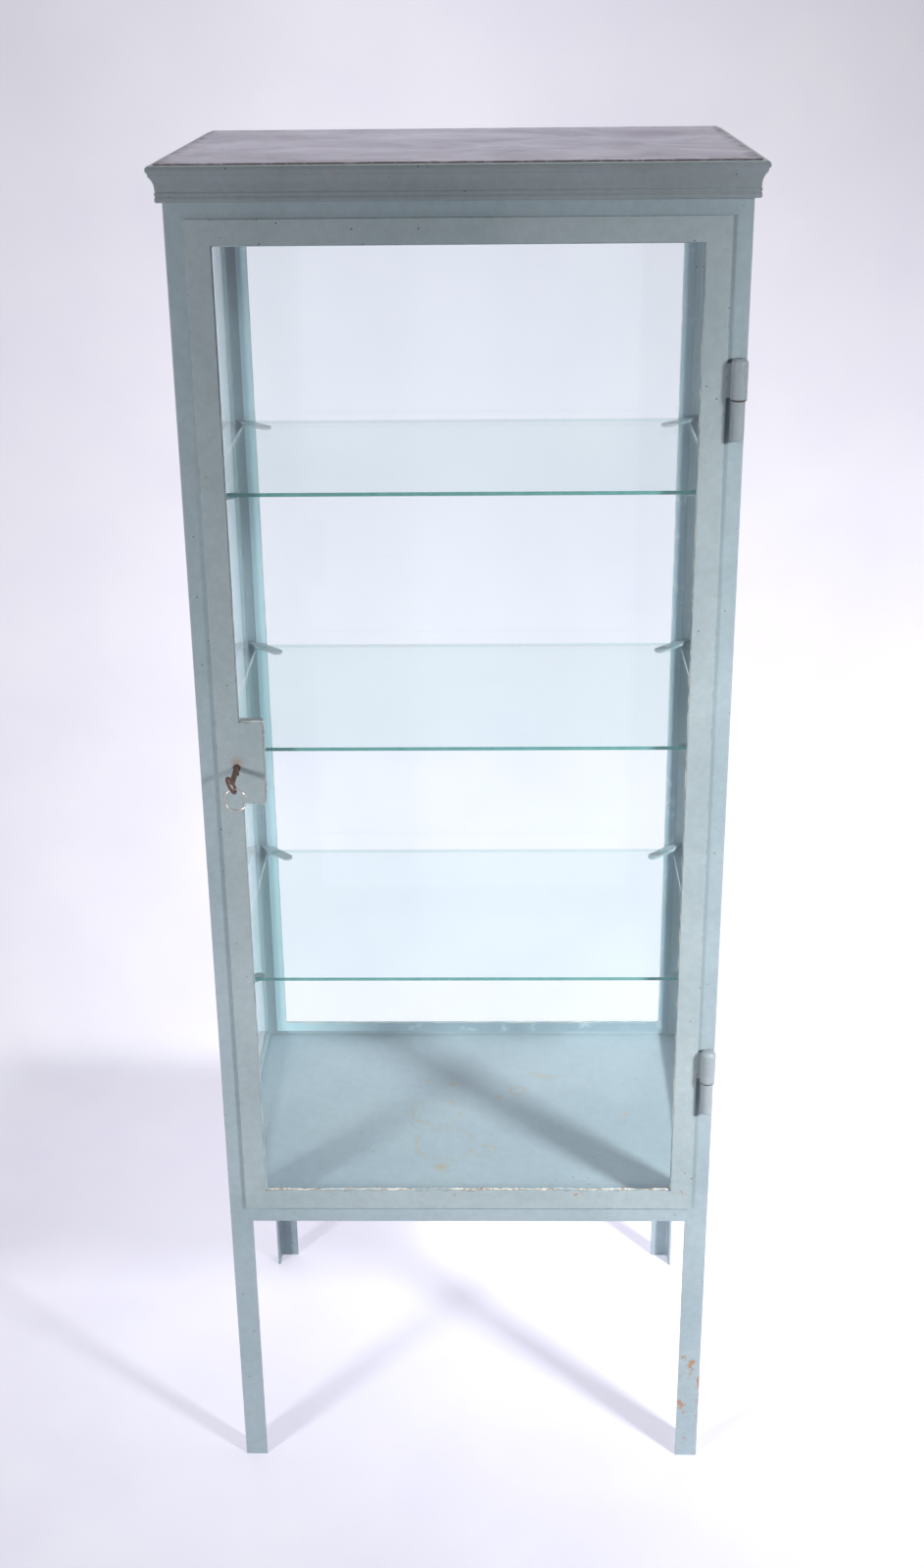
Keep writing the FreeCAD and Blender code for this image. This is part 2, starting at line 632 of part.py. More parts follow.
def add_lock(doc):
    """Face plate beside the stile, case behind it with its cover, and the sliding bolt."""
    face = "-1 * ( deep / 2 + door_gap )"
    body = new_body(doc, "lock_plate", "0", face, "0", PANE_TURN)
    sketch = new_sketch(body)
    box_outline(sketch, "bar_wide - door_half", "plate_low", "-1 * plate_in", "plate_high")
    pad(body, sketch, "steel")
    ease_at(body, "Fillet", [(-SIZES["plate_in"], SIZES["plate_low"])], "plate_round")
    ease_at(body, "Chamfer", [(-SIZES["plate_in"], SIZES["plate_high"])], "plate_clip")
    outer_x = "web_in + steel - door_half"
    body = new_body(doc, "lock_case", "0", face, "0", PANE_TURN)
    sketch = new_sketch(body)
    box_outline(sketch, outer_x, "case_low", "-1 * case_in", "case_high")
    pad(body, sketch, "case_deep", back=True)
    inner_corner = [(-SIZES["case_in"], SIZES["case_low"])]
    ease_at(body, "Fillet", inner_corner, "case_round")
    hollow = new_sketch(body)
    lift(hollow, "-1 * case_wall")
    box_outline(
        hollow, outer_x + " + case_wall", "case_low + case_wall",
        "-1 * case_in - case_wall", "case_high - case_wall",
    )
    pocket(body, hollow, "case_deep")
    cut_keyhole(body, "cut_past", "case_wall + cut_past")
    window = new_sketch(body, "YZ_Plane")
    lift(window, outer_x + " - cut_past")
    bolt_window(window)
    pocket(body, window, "case_wall + 2 * cut_past", along_normal=True)
    body = new_body(doc, "lock_cover", "0", face + " + case_deep", "0", PANE_TURN)
    sketch = new_sketch(body)
    box_outline(sketch, outer_x, "case_low", "-1 * case_in", "case_high")
    pad(body, sketch, "case_wall", back=True)
    ease_at(body, "Fillet", inner_corner, "case_round")
    body = new_body(doc, "lock_bolt", "-1 * bolt_tip", face + " + bolt_back", "bolt_low", PANE_TURN)
    sketch = new_sketch(body)
    box_outline(sketch, "0", "0", "bolt_long", "bolt_high - bolt_low")
    pad(body, sketch, "bolt_thick", back=True)
    ease_at(body, "Fillet", [(0, 0), (0, SIZES["bolt_high"] - SIZES["bolt_low"])], "bolt_round")


def add_key(doc):
    """Key turned from flat bar and wire: shank, round bow and bit, standing a little turned."""
    face = "-1 * ( deep / 2 + door_gap + steel )"
    tilt = FreeCAD.Rotation(Vector(0, -1, 0), SIZES["key_tilt"])
    body = new_body(doc, "key", "-1 * key_x", face, "key_z", tilt)
    shank = new_sketch(body, "XZ_Plane")
    lift(shank, "-1 * shank_in")
    round_outline(shank, "0", "0", "shank_rad")
    pad(body, shank, "shank_in + shank_out")
    bow = body.newObject("PartDesign::AdditiveTorus", "bow")
    bow.Placement = FreeCAD.Placement(Vector(0, 0, 0), FreeCAD.Rotation(Vector(0, 1, 0), 90))
    bind(bow, "Radius1", "bow_ring")
    bind(bow, "Radius2", "bow_wire")
    bind(bow, "Placement.Base.y", "-1 * ( shank_out + bow_ring - bow_wire / 2 )")
    doc.recompute()
    bit = new_sketch(body, "YZ_Plane")
    lift(bit, "-1 * bit_half")
    box_outline(bit, "shank_in - bit_long", "-1 * bit_high", "shank_in", "0")
    pad(body, bit, "2 * bit_half")


def add_key_ring(doc):
    """Wire ring hanging from the lowest wire of the key's bow."""
    ring = doc.addObject("Part::Torus", "key_ring")
    ring.Label = "key_ring"
    bind(ring, "Radius1", "ring_rad")
    bind(ring, "Radius2", "ring_wire")
    drop = "ring_rad - ring_wire - bow_wire - ring_gap"
    place(
        ring, "bow_ring * sin( key_tilt * 1deg ) - key_x",
        "-1 * ( deep / 2 + door_gap + steel + shank_out + bow_ring - bow_wire / 2 )",
        "key_z - bow_ring * cos( key_tilt * 1deg ) - ( %s )" % drop, PANE_TURN,
    )


def write_parts(doc):
    """Check every object and write one file for each named sub-part."""
    doc.recompute()
    for item in doc.Objects:
        if "Invalid" in item.State or "Error" in item.State:
            raise RuntimeError("%s did not build: %s" % (item.Name, item.State))
    os.makedirs("parts", exist_ok=True)
    for item in doc.Objects:
        if item.TypeId not in ("PartDesign::Body", "Part::Torus"):
            continue
        shape = item.Shape
        if shape.isNull() or not shape.isValid() or len(shape.Solids) != 1:
            raise RuntimeError("%s is not one valid solid" % item.Label)
        shape.exportStep("parts/%s.step" % item.Label)


def build():
    """Build the cabinet in the order it is put together."""
    doc = FreeCAD.newDocument("cabinet")
    make_sheet(doc)
    for step in (
        add_posts, add_rails, add_floor, add_cornice, add_top, add_panes, add_shelves,
        add_hinges, add_door_frame, add_door_pane, add_lock, add_key, add_key_ring,
    ):
        step(doc)
    write_parts(doc)


build()
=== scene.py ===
import math
import bpy
import numpy as np
from mathutils import Matrix, Vector


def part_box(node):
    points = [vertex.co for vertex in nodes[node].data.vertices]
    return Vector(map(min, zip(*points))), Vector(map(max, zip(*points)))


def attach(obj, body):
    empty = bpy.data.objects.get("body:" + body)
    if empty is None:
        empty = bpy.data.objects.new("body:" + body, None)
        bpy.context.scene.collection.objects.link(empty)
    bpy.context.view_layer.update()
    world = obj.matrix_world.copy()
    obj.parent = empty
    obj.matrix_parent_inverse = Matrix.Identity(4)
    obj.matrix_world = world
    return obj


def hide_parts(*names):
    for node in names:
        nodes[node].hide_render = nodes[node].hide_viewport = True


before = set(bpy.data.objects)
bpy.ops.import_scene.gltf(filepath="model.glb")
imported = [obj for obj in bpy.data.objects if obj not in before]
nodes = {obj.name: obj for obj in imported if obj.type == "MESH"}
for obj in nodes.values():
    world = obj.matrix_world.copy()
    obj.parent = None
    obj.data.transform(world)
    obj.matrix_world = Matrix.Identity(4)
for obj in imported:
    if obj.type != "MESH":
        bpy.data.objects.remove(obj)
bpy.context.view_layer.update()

# Corner posts and rails: rolled mild steel angle, 26 mm on the leg, welded into one frame.
# The frame is brushed all over with a blue-grey oil enamel that has chipped along its edges
# and rusts where the feet stand on damp floors.
MM = 0.001


def linear(code):
    """The sRGB hex colour as linear red, green, blue and a full alpha."""
    parts = np.array([int(code[i:i + 2], 16) for i in (1, 3, 5)]) / 255.0
    low = parts / 12.92
    high = ((parts + 0.055) / 1.055) ** 2.4
    return (*np.where(parts <= 0.04045, low, high), 1.0)


def add(tree, kind, sockets=None, **settings):
    """Adds a node with its settings. A socket given a value is set, one given an output is linked."""
    made = tree.nodes.new(kind)
    for name, value in settings.items():
        setattr(made, name, value)
    for name, value in (sockets or {}).items():
        if isinstance(value, bpy.types.NodeSocket):
            tree.links.new(value, made.inputs[name])
        else:
            made.inputs[name].default_value = value
    return made


def bare_material(name):
    """An empty node material: its tree and its output."""
    material = bpy.data.materials.new(name)
    material.use_nodes = True
    tree = material.node_tree
    tree.nodes.clear()
    return material, tree, add(tree, "ShaderNodeOutputMaterial")


def dress(material, *names):
    """Gives CAD nodes this material in place of their plain one."""
    for name in names:
        mesh = nodes[name].data
        mesh.materials.clear()
        mesh.materials.append(material)


def enamel(name, paint, shade, chip, rust, damp, welds=(), flaking=0.53):
    """Brushed oil enamel on steel: a slow drift between two near tones, a fine mottle, arrises painted pale
    as rubbed paint and as a painted highlight, dark chips along them and in single specks, rust about the
    damp height within its reach, and a faint brushed skin. A weld gives limits, each an axis, a place on it
    and a reach, within which a joint is ground flush and shows no edge. The paint flakes where the noise is
    above the flaking level."""
    material, tree, output = bare_material(name)
    where = add(tree, "ShaderNodeTexCoord").outputs["Object"]
    drift = add(tree, "ShaderNodeTexNoise", {"Vector": where, "Scale": 1 / (140 * MM), "Detail": 4.0})
    drift_part = add(tree, "ShaderNodeMapRange", {"Value": drift.outputs["Fac"], "From Min": 0.35,
                                                  "From Max": 0.65})
    tone = add(tree, "ShaderNodeMix", {0: drift_part.outputs[0], 6: linear(paint), 7: linear(shade)},
               data_type="RGBA")
    mottle = add(tree, "ShaderNodeTexNoise", {"Vector": where, "Scale": 1 / (9 * MM), "Detail": 5.0,
                                              "Roughness": 0.7})
    mottle_part = add(tree, "ShaderNodeMapRange", {"Value": mottle.outputs["Fac"], "From Min": 0.3,
                                                   "From Max": 0.7, "To Min": 0.92, "To Max": 1.06})
    toned = add(tree, "ShaderNodeVectorMath", {0: tone.outputs[2], "Scale": mottle_part.outputs[0]},
                operation="SCALE")

    # Edges: the rounded normal leaves the true one only within 1.5 mm of a corner.
    soft = add(tree, "ShaderNodeBevel", {"Radius": 1.5 * MM}, samples=4)
    true = add(tree, "ShaderNodeNewGeometry")
    rounded = soft.outputs[0]
    place = add(tree, "ShaderNodeSeparateXYZ", {0: where})
    for limits in welds:
        ground = 1.0
        for axis, at, reach in limits:
            near = add(tree, "ShaderNodeMath", {0: place.outputs[axis], 1: at, 2: reach},
                       operation="COMPARE")
            ground = add(tree, "ShaderNodeMath", {0: near.outputs[0], 1: ground},
                         operation="MULTIPLY").outputs[0]
        rounded = add(tree, "ShaderNodeMix", {0: ground, 4: rounded, 5: true.outputs["Normal"]},
                      data_type="VECTOR").outputs[1]
    same = add(tree, "ShaderNodeVectorMath", {0: rounded, 1: true.outputs["Normal"]},
               operation="DOT_PRODUCT")
    edge = add(tree, "ShaderNodeMapRange", {"Value": same.outputs["Value"], "From Min": 0.985,
                                            "From Max": 0.80})
    flake = add(tree, "ShaderNodeTexNoise", {"Vector": where, "Scale": 1 / (14 * MM), "Detail": 6.0,
                                             "Roughness": 0.75})
    flake_part = add(tree, "ShaderNodeMapRange", {"Value": flake.outputs["Fac"], "From Min": flaking,
                                                  "From Max": flaking + 0.07})
    edge_chip = add(tree, "ShaderNodeMath", {0: edge.outputs[0], 1: flake_part.outputs[0]},
                    operation="MULTIPLY")
    # Painted highlight: the arrises are mixed towards a pale tone, standing in for light caught on the edges
    # as well as for rubbed paint.
    rub = add(tree, "ShaderNodeMath", {0: edge.outputs[0], 1: 0.45}, operation="MULTIPLY")
    rubbed_and_highlit = add(tree, "ShaderNodeMix", {0: rub.outputs[0], 6: toned.outputs[0], 7: linear("#C6D1D4")},
                 data_type="RGBA")

    # Single specks: ragged dark dots a millimetre or two across, close together where the coat is thin.
    cells = add(tree, "ShaderNodeTexVoronoi", {"Vector": where, "Scale": 1 / (9 * MM), "Randomness": 1.0})
    ragged = add(tree, "ShaderNodeMath", {0: flake.outputs["Fac"], 1: 0.24, 2: cells.outputs["Distance"]},
                 operation="MULTIPLY_ADD")
    dot = add(tree, "ShaderNodeMapRange", {"Value": ragged.outputs[0], "From Min": 0.24, "From Max": 0.18})
    pick = add(tree, "ShaderNodeSeparateColor", {"Color": cells.outputs["Color"]})
    sparse = add(tree, "ShaderNodeMapRange", {"Value": drift.outputs["Fac"], "From Min": 0.40,
                                              "From Max": 0.62, "To Min": 0.97, "To Max": 0.66})
    picked = add(tree, "ShaderNodeMath", {0: pick.outputs[0], 1: sparse.outputs[0]},
                 operation="GREATER_THAN")
    speck = add(tree, "ShaderNodeMath", {0: dot.outputs[0], 1: picked.outputs[0]}, operation="MULTIPLY")
    bare = add(tree, "ShaderNodeMath", {0: edge_chip.outputs[0], 1: speck.outputs[0]}, operation="MAXIMUM")
    chipped = add(tree, "ShaderNodeMix", {0: bare.outputs[0], 6: rubbed_and_highlit.outputs[2], 7: linear(chip)},
                  data_type="RGBA")

    # Rust: pin-head blisters, thickest at the height where water stands or a wet mop reaches.
    above = add(tree, "ShaderNodeMath", {0: place.outputs["Z"], 1: damp[0]}, operation="SUBTRACT")
    off_damp = add(tree, "ShaderNodeMath", {0: above.outputs[0]}, operation="ABSOLUTE")
    low = add(tree, "ShaderNodeMapRange", {"Value": off_damp.outputs[0], "From Min": damp[1],
                                           "From Max": damp[1] / 4, "To Max": rust})
    blot = add(tree, "ShaderNodeTexNoise", {"Vector": where, "Scale": 1 / (11 * MM), "Detail": 5.0,
                                            "Roughness": 0.6})
    eaten = add(tree, "ShaderNodeMath", {0: blot.outputs["Fac"], 1: low.outputs[0]}, operation="ADD")
    rust_part = add(tree, "ShaderNodeMapRange", {"Value": eaten.outputs[0], "From Min": 0.72,
                                                 "From Max": 0.80})
    rusted = add(tree, "ShaderNodeMix", {0: rust_part.outputs[0], 6: chipped.outputs[2],
                                         7: linear("#A58468")}, data_type="RGBA")

    lost = add(tree, "ShaderNodeMath", {0: bare.outputs[0], 1: rust_part.outputs[0]}, operation="MAXIMUM")
    rough = add(tree, "ShaderNodeMapRange", {"Value": lost.outputs[0], "To Min": 0.44, "To Max": 0.80})
    rough_mottled = add(tree, "ShaderNodeMath", {0: rough.outputs[0], 1: mottle_part.outputs[0]},
                        operation="MULTIPLY")
    skin = add(tree, "ShaderNodeTexNoise", {"Vector": where, "Scale": 1 / (5 * MM), "Detail": 2.0})
    hollow = add(tree, "ShaderNodeMath", {0: skin.outputs["Fac"], 1: lost.outputs[0]}, operation="SUBTRACT")
    relief = add(tree, "ShaderNodeBump", {"Height": hollow.outputs[0], "Strength": 0.30,
                                          "Distance": 0.35 * MM, "Normal": rounded})
    shader = add(tree, "ShaderNodeBsdfPrincipled", {"Base Color": rusted.outputs[2],
                                                    "Roughness": rough_mottled.outputs[0],
                                                    "Normal": relief.outputs[0], "IOR": 1.48})
    tree.links.new(shader.outputs[0], output.inputs[0])
    return material, tree, shader, rusted.outputs[2]


# Blue-grey enamel: an even, low sheen with small dark chips on every arris. A wet mop has reached a
# hand's breadth up the legs, and the rails butt on the inner edges of the posts, ground flush there.
MOPPED = (0.105, 0.12)
POST_IN, FRONT_IN, REAR_IN = 0.254, -0.1471, 0.2089
GROUND = 3 * MM
rail_ends = [("X", -POST_IN, GROUND), ("X", POST_IN, GROUND),
             ("Y", FRONT_IN, GROUND), ("Y", REAR_IN, GROUND)]
rail_heights = [("Z", 0.366, 19 * MM), ("Z", 1.4965, 14 * MM)]
butts = [(end, height) for end in rail_ends for height in rail_heights]
FRAME_PAINT = ("#A2B2B8", "#97A8AE", "#5C554E")
frame_enamel = enamel("blue_grey_enamel_on_angle", *FRAME_PAINT, 0.06, MOPPED, butts)[0]
leg_enamel = enamel("blue_grey_enamel_rusted_foot", *FRAME_PAINT, 0.16, MOPPED, butts)[0]
dress(frame_enamel, "front_left_post", "rear_left_post", "rear_right_post")
dress(leg_enamel, "front_right_post")
dress(frame_enamel, "front_top_rail", "rear_top_rail", "left_top_rail", "right_top_rail", "rear_fascia")
dress(frame_enamel, "front_bottom_rail", "rear_bottom_rail", "left_bottom_rail", "right_bottom_rail")

# Floor pan: sheet steel with turned-down lips, laid on the bottom rails and painted with the frame's enamel,
# its tones set lighter than the frame's as painted light on the floor inside the cabinet.
# Jars and trays have left rings and beige spill marks in its enamel.
floor_enamel, tree, shader, painted = enamel("blue_grey_enamel_on_pan", "#AFC0C7", "#A6B8C0", "#75604C",
                                             0.0, MOPPED)
where = add(tree, "ShaderNodeTexCoord").outputs["Object"]
spill = add(tree, "ShaderNodeTexNoise", {"Vector": where, "Scale": 1 / (60 * MM), "Detail": 7.0,
                                         "Roughness": 0.62, "Distortion": 0.8})
dried = add(tree, "ShaderNodeMapRange", {"Value": spill.outputs["Fac"], "From Min": 0.69,
                                         "From Max": 0.78}).outputs[0]

# Rings of jars and single drops, in millimetres: middle across and deep, radius, and how wide the mark is.
# A ring is broken where the jar didn't touch; a drop has no radius and is whole.
PAN_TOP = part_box("floor_pan")[1].z
DROP_WEIGHT = 1.3
RINGS = [(-30, -35, 36, 5), (-43, 36, 30, 5), (20, -52, 13, 4), (-58, 112, 0, 6), (-23, 103, 0, 8),
         (35, 71, 0, 8), (197, 32, 0, 7), (-34, -86, 0, 13), (60, 88, 9, 4)]
wobble = add(tree, "ShaderNodeTexNoise", {"Vector": where, "Scale": 1 / (22 * MM), "Detail": 6.0,
                                          "Roughness": 0.7})
broken = add(tree, "ShaderNodeMapRange", {"Value": wobble.outputs["Fac"], "From Min": 0.40,
                                          "From Max": 0.54})
for across, deep, radius, wide in RINGS:
    off = add(tree, "ShaderNodeVectorMath", {0: where, 1: (across * MM, deep * MM, PAN_TOP)},
              operation="DISTANCE")
    from_ring = add(tree, "ShaderNodeMath", {0: off.outputs["Value"], 1: radius * MM}, operation="SUBTRACT")
    beside = add(tree, "ShaderNodeMath", {0: from_ring.outputs[0]}, operation="ABSOLUTE")
    ring = add(tree, "ShaderNodeMapRange", {"Value": beside.outputs[0], "From Min": wide * MM,
                                            "From Max": 0.0})
    worn_ring = add(tree, "ShaderNodeMath", {0: ring.outputs[0],
                                             1: broken.outputs[0] if radius else DROP_WEIGHT},
                    operation="MULTIPLY")
    dried = add(tree, "ShaderNodeMath", {0: dried, 1: worn_ring.outputs[0]}, operation="MAXIMUM").outputs[0]
spill_part = add(tree, "ShaderNodeMath", {0: dried, 1: 0.75}, operation="MULTIPLY")
stained = add(tree, "ShaderNodeMix", {0: spill_part.outputs[0], 6: painted, 7: linear("#B7AE99")},
              data_type="RGBA")
tree.links.new(stained.outputs[2], shader.inputs["Base Color"])
dress(floor_enamel, "floor_pan")

# Cornice: sheet steel rolled to a small crown moulding, mitred at the front corners and welded.
# It carries the frame's enamel in darker, greyer tones, as painted shade for the cove, which the light
# reaches less.
cornice_enamel = enamel("blue_grey_enamel_with_painted_shade", "#949FA2", "#889395", "#57504A", 0.0, MOPPED, (), 0.60)[0]
dress(cornice_enamel, "cornice_front", "cornice_left", "cornice_right")

# Top sheet: bare steel laid over the cornice. It has lost its paint to years of boxes being slid on
# and off, and has greyed unevenly with rust pin-pricks.
sheet_steel, tree, output = bare_material("bare_worn_sheet_steel")
where = add(tree, "ShaderNodeTexCoord").outputs["Object"]
cloud = add(tree, "ShaderNodeTexNoise", {"Vector": where, "Scale": 1 / (110 * MM), "Detail": 8.0,
                                         "Roughness": 0.66, "Distortion": 0.6})
cloud_part = add(tree, "ShaderNodeMapRange", {"Value": cloud.outputs["Fac"], "From Min": 0.35,
                                              "From Max": 0.66})
grey = add(tree, "ShaderNodeMix", {0: cloud_part.outputs[0], 6: linear("#A3A0AA"), 7: linear("#817E88")},
           data_type="RGBA")
prick = add(tree, "ShaderNodeTexNoise", {"Vector": where, "Scale": 1 / (12 * MM), "Detail": 5.0,
                                         "Roughness": 0.7})
prick_part = add(tree, "ShaderNodeMapRange", {"Value": prick.outputs["Fac"], "From Min": 0.68,
                                              "From Max": 0.72})

# Rim: dirt gathers within two centimetres of the sheet's edges.
RIM = 20 * MM
sheet_low, sheet_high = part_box("top_plate")
sheet_middle = (sheet_low + sheet_high) / 2
sheet_half = (sheet_high - sheet_low) / 2
off = add(tree, "ShaderNodeVectorMath", {0: where, 1: tuple(sheet_middle)}, operation="SUBTRACT")
reach = add(tree, "ShaderNodeVectorMath", {0: off.outputs[0]}, operation="ABSOLUTE")
span = add(tree, "ShaderNodeSeparateXYZ", {0: reach.outputs[0]})
end = add(tree, "ShaderNodeMapRange", {"Value": span.outputs["X"], "From Min": sheet_half.x - RIM,
                                       "From Max": sheet_half.x})
side = add(tree, "ShaderNodeMapRange", {"Value": span.outputs["Y"], "From Min": sheet_half.y - RIM,
                                        "From Max": sheet_half.y})
rim = add(tree, "ShaderNodeMath", {0: end.outputs[0], 1: side.outputs[0]}, operation="MAXIMUM")
rim_dirt = add(tree, "ShaderNodeMath", {0: rim.outputs[0], 1: 0.30, 2: prick.outputs["Fac"]},
               operation="MULTIPLY_ADD")
rim_part = add(tree, "ShaderNodeMapRange", {"Value": rim_dirt.outputs[0], "From Min": 0.66,
                                            "From Max": 0.80, "To Max": 0.85})
dark = add(tree, "ShaderNodeMath", {0: prick_part.outputs[0], 1: rim_part.outputs[0]}, operation="MAXIMUM")
spotted = add(tree, "ShaderNodeMix", {0: dark.outputs[0], 6: grey.outputs[2], 7: linear("#5A5250")},
              data_type="RGBA")
rough = add(tree, "ShaderNodeMapRange", {"Value": cloud.outputs["Fac"], "From Min": 0.3, "From Max": 0.7,
                                         "To Min": 0.42, "To Max": 0.55})
wave = add(tree, "ShaderNodeTexNoise", {"Vector": where, "Scale": 1 / (160 * MM), "Detail": 1.0})
dent = add(tree, "ShaderNodeBump", {"Height": wave.outputs["Fac"], "Strength": 0.3, "Distance": 2.0 * MM})
pitted = add(tree, "ShaderNodeBump", {"Height": prick.outputs["Fac"], "Strength": 0.25,
                                      "Distance": 0.2 * MM, "Normal": dent.outputs[0]})
shader = add(tree, "ShaderNodeBsdfPrincipled", {"Base Color": spotted.outputs[2],
                                                "Roughness": rough.outputs[0],
                                                "Normal": pitted.outputs[0], "Metallic": 0.45})
tree.links.new(shader.outputs[0], output.inputs[0])
dress(sheet_steel, "top_plate")


# Window panes: 3 mm drawn sheet glass, bedded from inside against the angle of the frame.
# Clear, with a faint bloom of dust and the green of iron in the tint.
def clear_glass(name, tint, dust):
    """Sheet glass: straight see-through with the glass's tint, a mirror part that grows to grazing view
    by the fifth power of the facing angle, and a thin cloudy bloom of dust."""
    material, tree, output = bare_material(name)
    where = add(tree, "ShaderNodeTexCoord").outputs["Object"]
    view = add(tree, "ShaderNodeLayerWeight", {"Blend": 0.5})
    steep = add(tree, "ShaderNodeMath", {0: view.outputs["Facing"], 1: 5.0}, operation="POWER")
    mirror = add(tree, "ShaderNodeMath", {0: steep.outputs[0], 1: 0.90, 2: 0.035}, operation="MULTIPLY_ADD")
    bloom = add(tree, "ShaderNodeTexNoise", {"Vector": where, "Scale": 1 / (160 * MM), "Detail": 6.0,
                                             "Roughness": 0.6})
    film = add(tree, "ShaderNodeMapRange", {"Value": bloom.outputs["Fac"], "From Min": 0.40,
                                            "From Max": 0.75, "To Max": dust})
    rough = add(tree, "ShaderNodeMapRange", {"Value": bloom.outputs["Fac"], "From Min": 0.3,
                                             "From Max": 0.7, "To Min": 0.01, "To Max": 0.06})
    through = add(tree, "ShaderNodeBsdfTransparent", {"Color": linear(tint)})
    gloss = add(tree, "ShaderNodeBsdfGlossy", {"Color": (1.0, 1.0, 1.0, 1.0),
                                               "Roughness": rough.outputs[0]})
    haze = add(tree, "ShaderNodeBsdfDiffuse", {"Color": linear("#E4EAEA")})
    glassy = add(tree, "ShaderNodeMixShader", {0: mirror.outputs[0], 1: through.outputs[0],
                                               2: gloss.outputs[0]})
    dusty = add(tree, "ShaderNodeMixShader", {0: film.outputs[0], 1: glassy.outputs[0], 2: haze.outputs[0]})
    tree.links.new(dusty.outputs[0], output.inputs[0])
    return material, tree, dusty, output


pane_glass = clear_glass("drawn_sheet_glass", "#FCFEFE", 0.012)[0]
dress(pane_glass, "back_glass", "left_glass", "right_glass")

# Glazing putty: beds of linseed putty pressed between pane and angle, painted over.
# Seen through the pane they show paint with patches of chalky putty.
bed_putty, tree, output = bare_material("linseed_putty_behind_glass")
where = add(tree, "ShaderNodeTexCoord").outputs["Object"]
patch = add(tree, "ShaderNodeTexNoise", {"Vector": where, "Scale": 1 / (16 * MM), "Detail": 6.0,
                                         "Roughness": 0.65})
patch_part = add(tree, "ShaderNodeMapRange", {"Value": patch.outputs["Fac"], "From Min": 0.56,
                                              "From Max": 0.72, "To Max": 0.5})

# Painted light: the beds are painted paler at the left and darker towards the right, standing in for the
# light that falls more on the left rear post than on the right.
place = add(tree, "ShaderNodeSeparateXYZ", {0: where})
painted_light_across = add(tree, "ShaderNodeMapRange", {"Value": place.outputs["X"], "From Min": -0.25,
                                            "From Max": -0.05})
painted_light_coat = add(tree, "ShaderNodeMix", {0: painted_light_across.outputs[0], 6: linear("#C4DAE2"), 7: linear("#93A5B0")},
           data_type="RGBA")
chalk = add(tree, "ShaderNodeMix", {0: patch_part.outputs[0], 6: painted_light_coat.outputs[2], 7: linear("#D9E3E7")},
            data_type="RGBA")
grain = add(tree, "ShaderNodeBump", {"Height": patch.outputs["Fac"], "Strength": 0.5, "Distance": 0.6 * MM})
dull = add(tree, "ShaderNodeMapRange", {"Value": patch.outputs["Fac"], "To Min": 0.55, "To Max": 0.85})
shader = add(tree, "ShaderNodeBsdfPrincipled", {"Base Color": chalk.outputs[2],
                                                "Roughness": dull.outputs[0], "Normal": grain.outputs[0]})
tree.links.new(shader.outputs[0], output.inputs[0])
dress(bed_putty, "back_putty", "left_putty", "right_putty", "door_putty")


def skin_mesh(name, skins, material):
    """One mesh from several closed skins. A skin is a grid of points, rows along its path and columns
    round its profile. The columns close on themselves, and the two end rows are filled."""
    points, faces, start = [], [], 0
    for grid in skins:
        rows, columns = grid.shape[:2]
        index = start + np.arange(rows * columns).reshape(rows, columns)
        beside = np.roll(index, -1, axis=1)
        faces += np.stack([index[:-1], beside[:-1], beside[1:], index[1:]], axis=-1).reshape(-1, 4).tolist()
        faces += [index[0, ::-1].tolist(), index[-1].tolist()]
        points.append(grid.reshape(-1, 3))
        start += rows * columns
    mesh = bpy.data.meshes.new(name)
    mesh.from_pydata(np.concatenate(points).tolist(), [], faces)
    mesh.polygons.foreach_set("use_smooth", np.array([len(face) == 4 for face in faces]))
    mesh.materials.append(material)
    piece = bpy.data.objects.new(name, mesh)
    bpy.context.scene.collection.objects.link(piece)
    return piece


def putty_fillet(start, stop, inward, out, width, height, seed):
    """A hand-smoothed fillet in the corner of pane and angle: a quarter ellipse carried along the edge, its
    width and height wandering between a third and the whole from knot to knot, and dying out at both
    ends."""
    step, knot_gap, run_out = 2.5 * MM, 9 * MM, 3 * MM
    start, stop, inward, out = (np.array(v, dtype=float) for v in (start, stop, inward, out))
    if np.dot(np.cross(inward, out), stop - start) < 0:
        start, stop = stop, start
    length = np.linalg.norm(stop - start)
    along = np.linspace(0, 1, int(length / step) + 2)
    luck = np.random.default_rng(seed)
    knots = np.linspace(0, 1, max(int(length / knot_gap), 4))
    fade = np.clip(np.minimum(along, 1 - along) * length / run_out, 0.02, 1)
    wide = width * fade * np.interp(along, knots, luck.uniform(0.35, 1.0, len(knots)))
    high = height * fade * np.interp(along, knots, luck.uniform(0.3, 1.0, len(knots)))
    angle = np.linspace(0, math.pi / 2, 5)
    profile_in = np.concatenate([[-0.1], np.cos(angle)])
    profile_out = np.concatenate([[-0.02], np.sin(angle)])
    middle = start + along[:, None] * (stop - start)
    return (middle[:, None, :] + (wide[:, None] * profile_in)[..., None] * inward
            + (high[:, None] * profile_out)[..., None] * out)


def pane_fillets(corners, inwards, out, widths, height, seed):
    """Fillets along every edge of an opening, given as its corners in order, with each edge's inward
    direction and the width of its fillet."""
    ends = corners[1:] + corners[:1]
    return [putty_fillet(a, b, inward, out, width, height, seed + i)
            for i, (a, b, inward, width) in enumerate(zip(corners, ends, inwards, widths))]


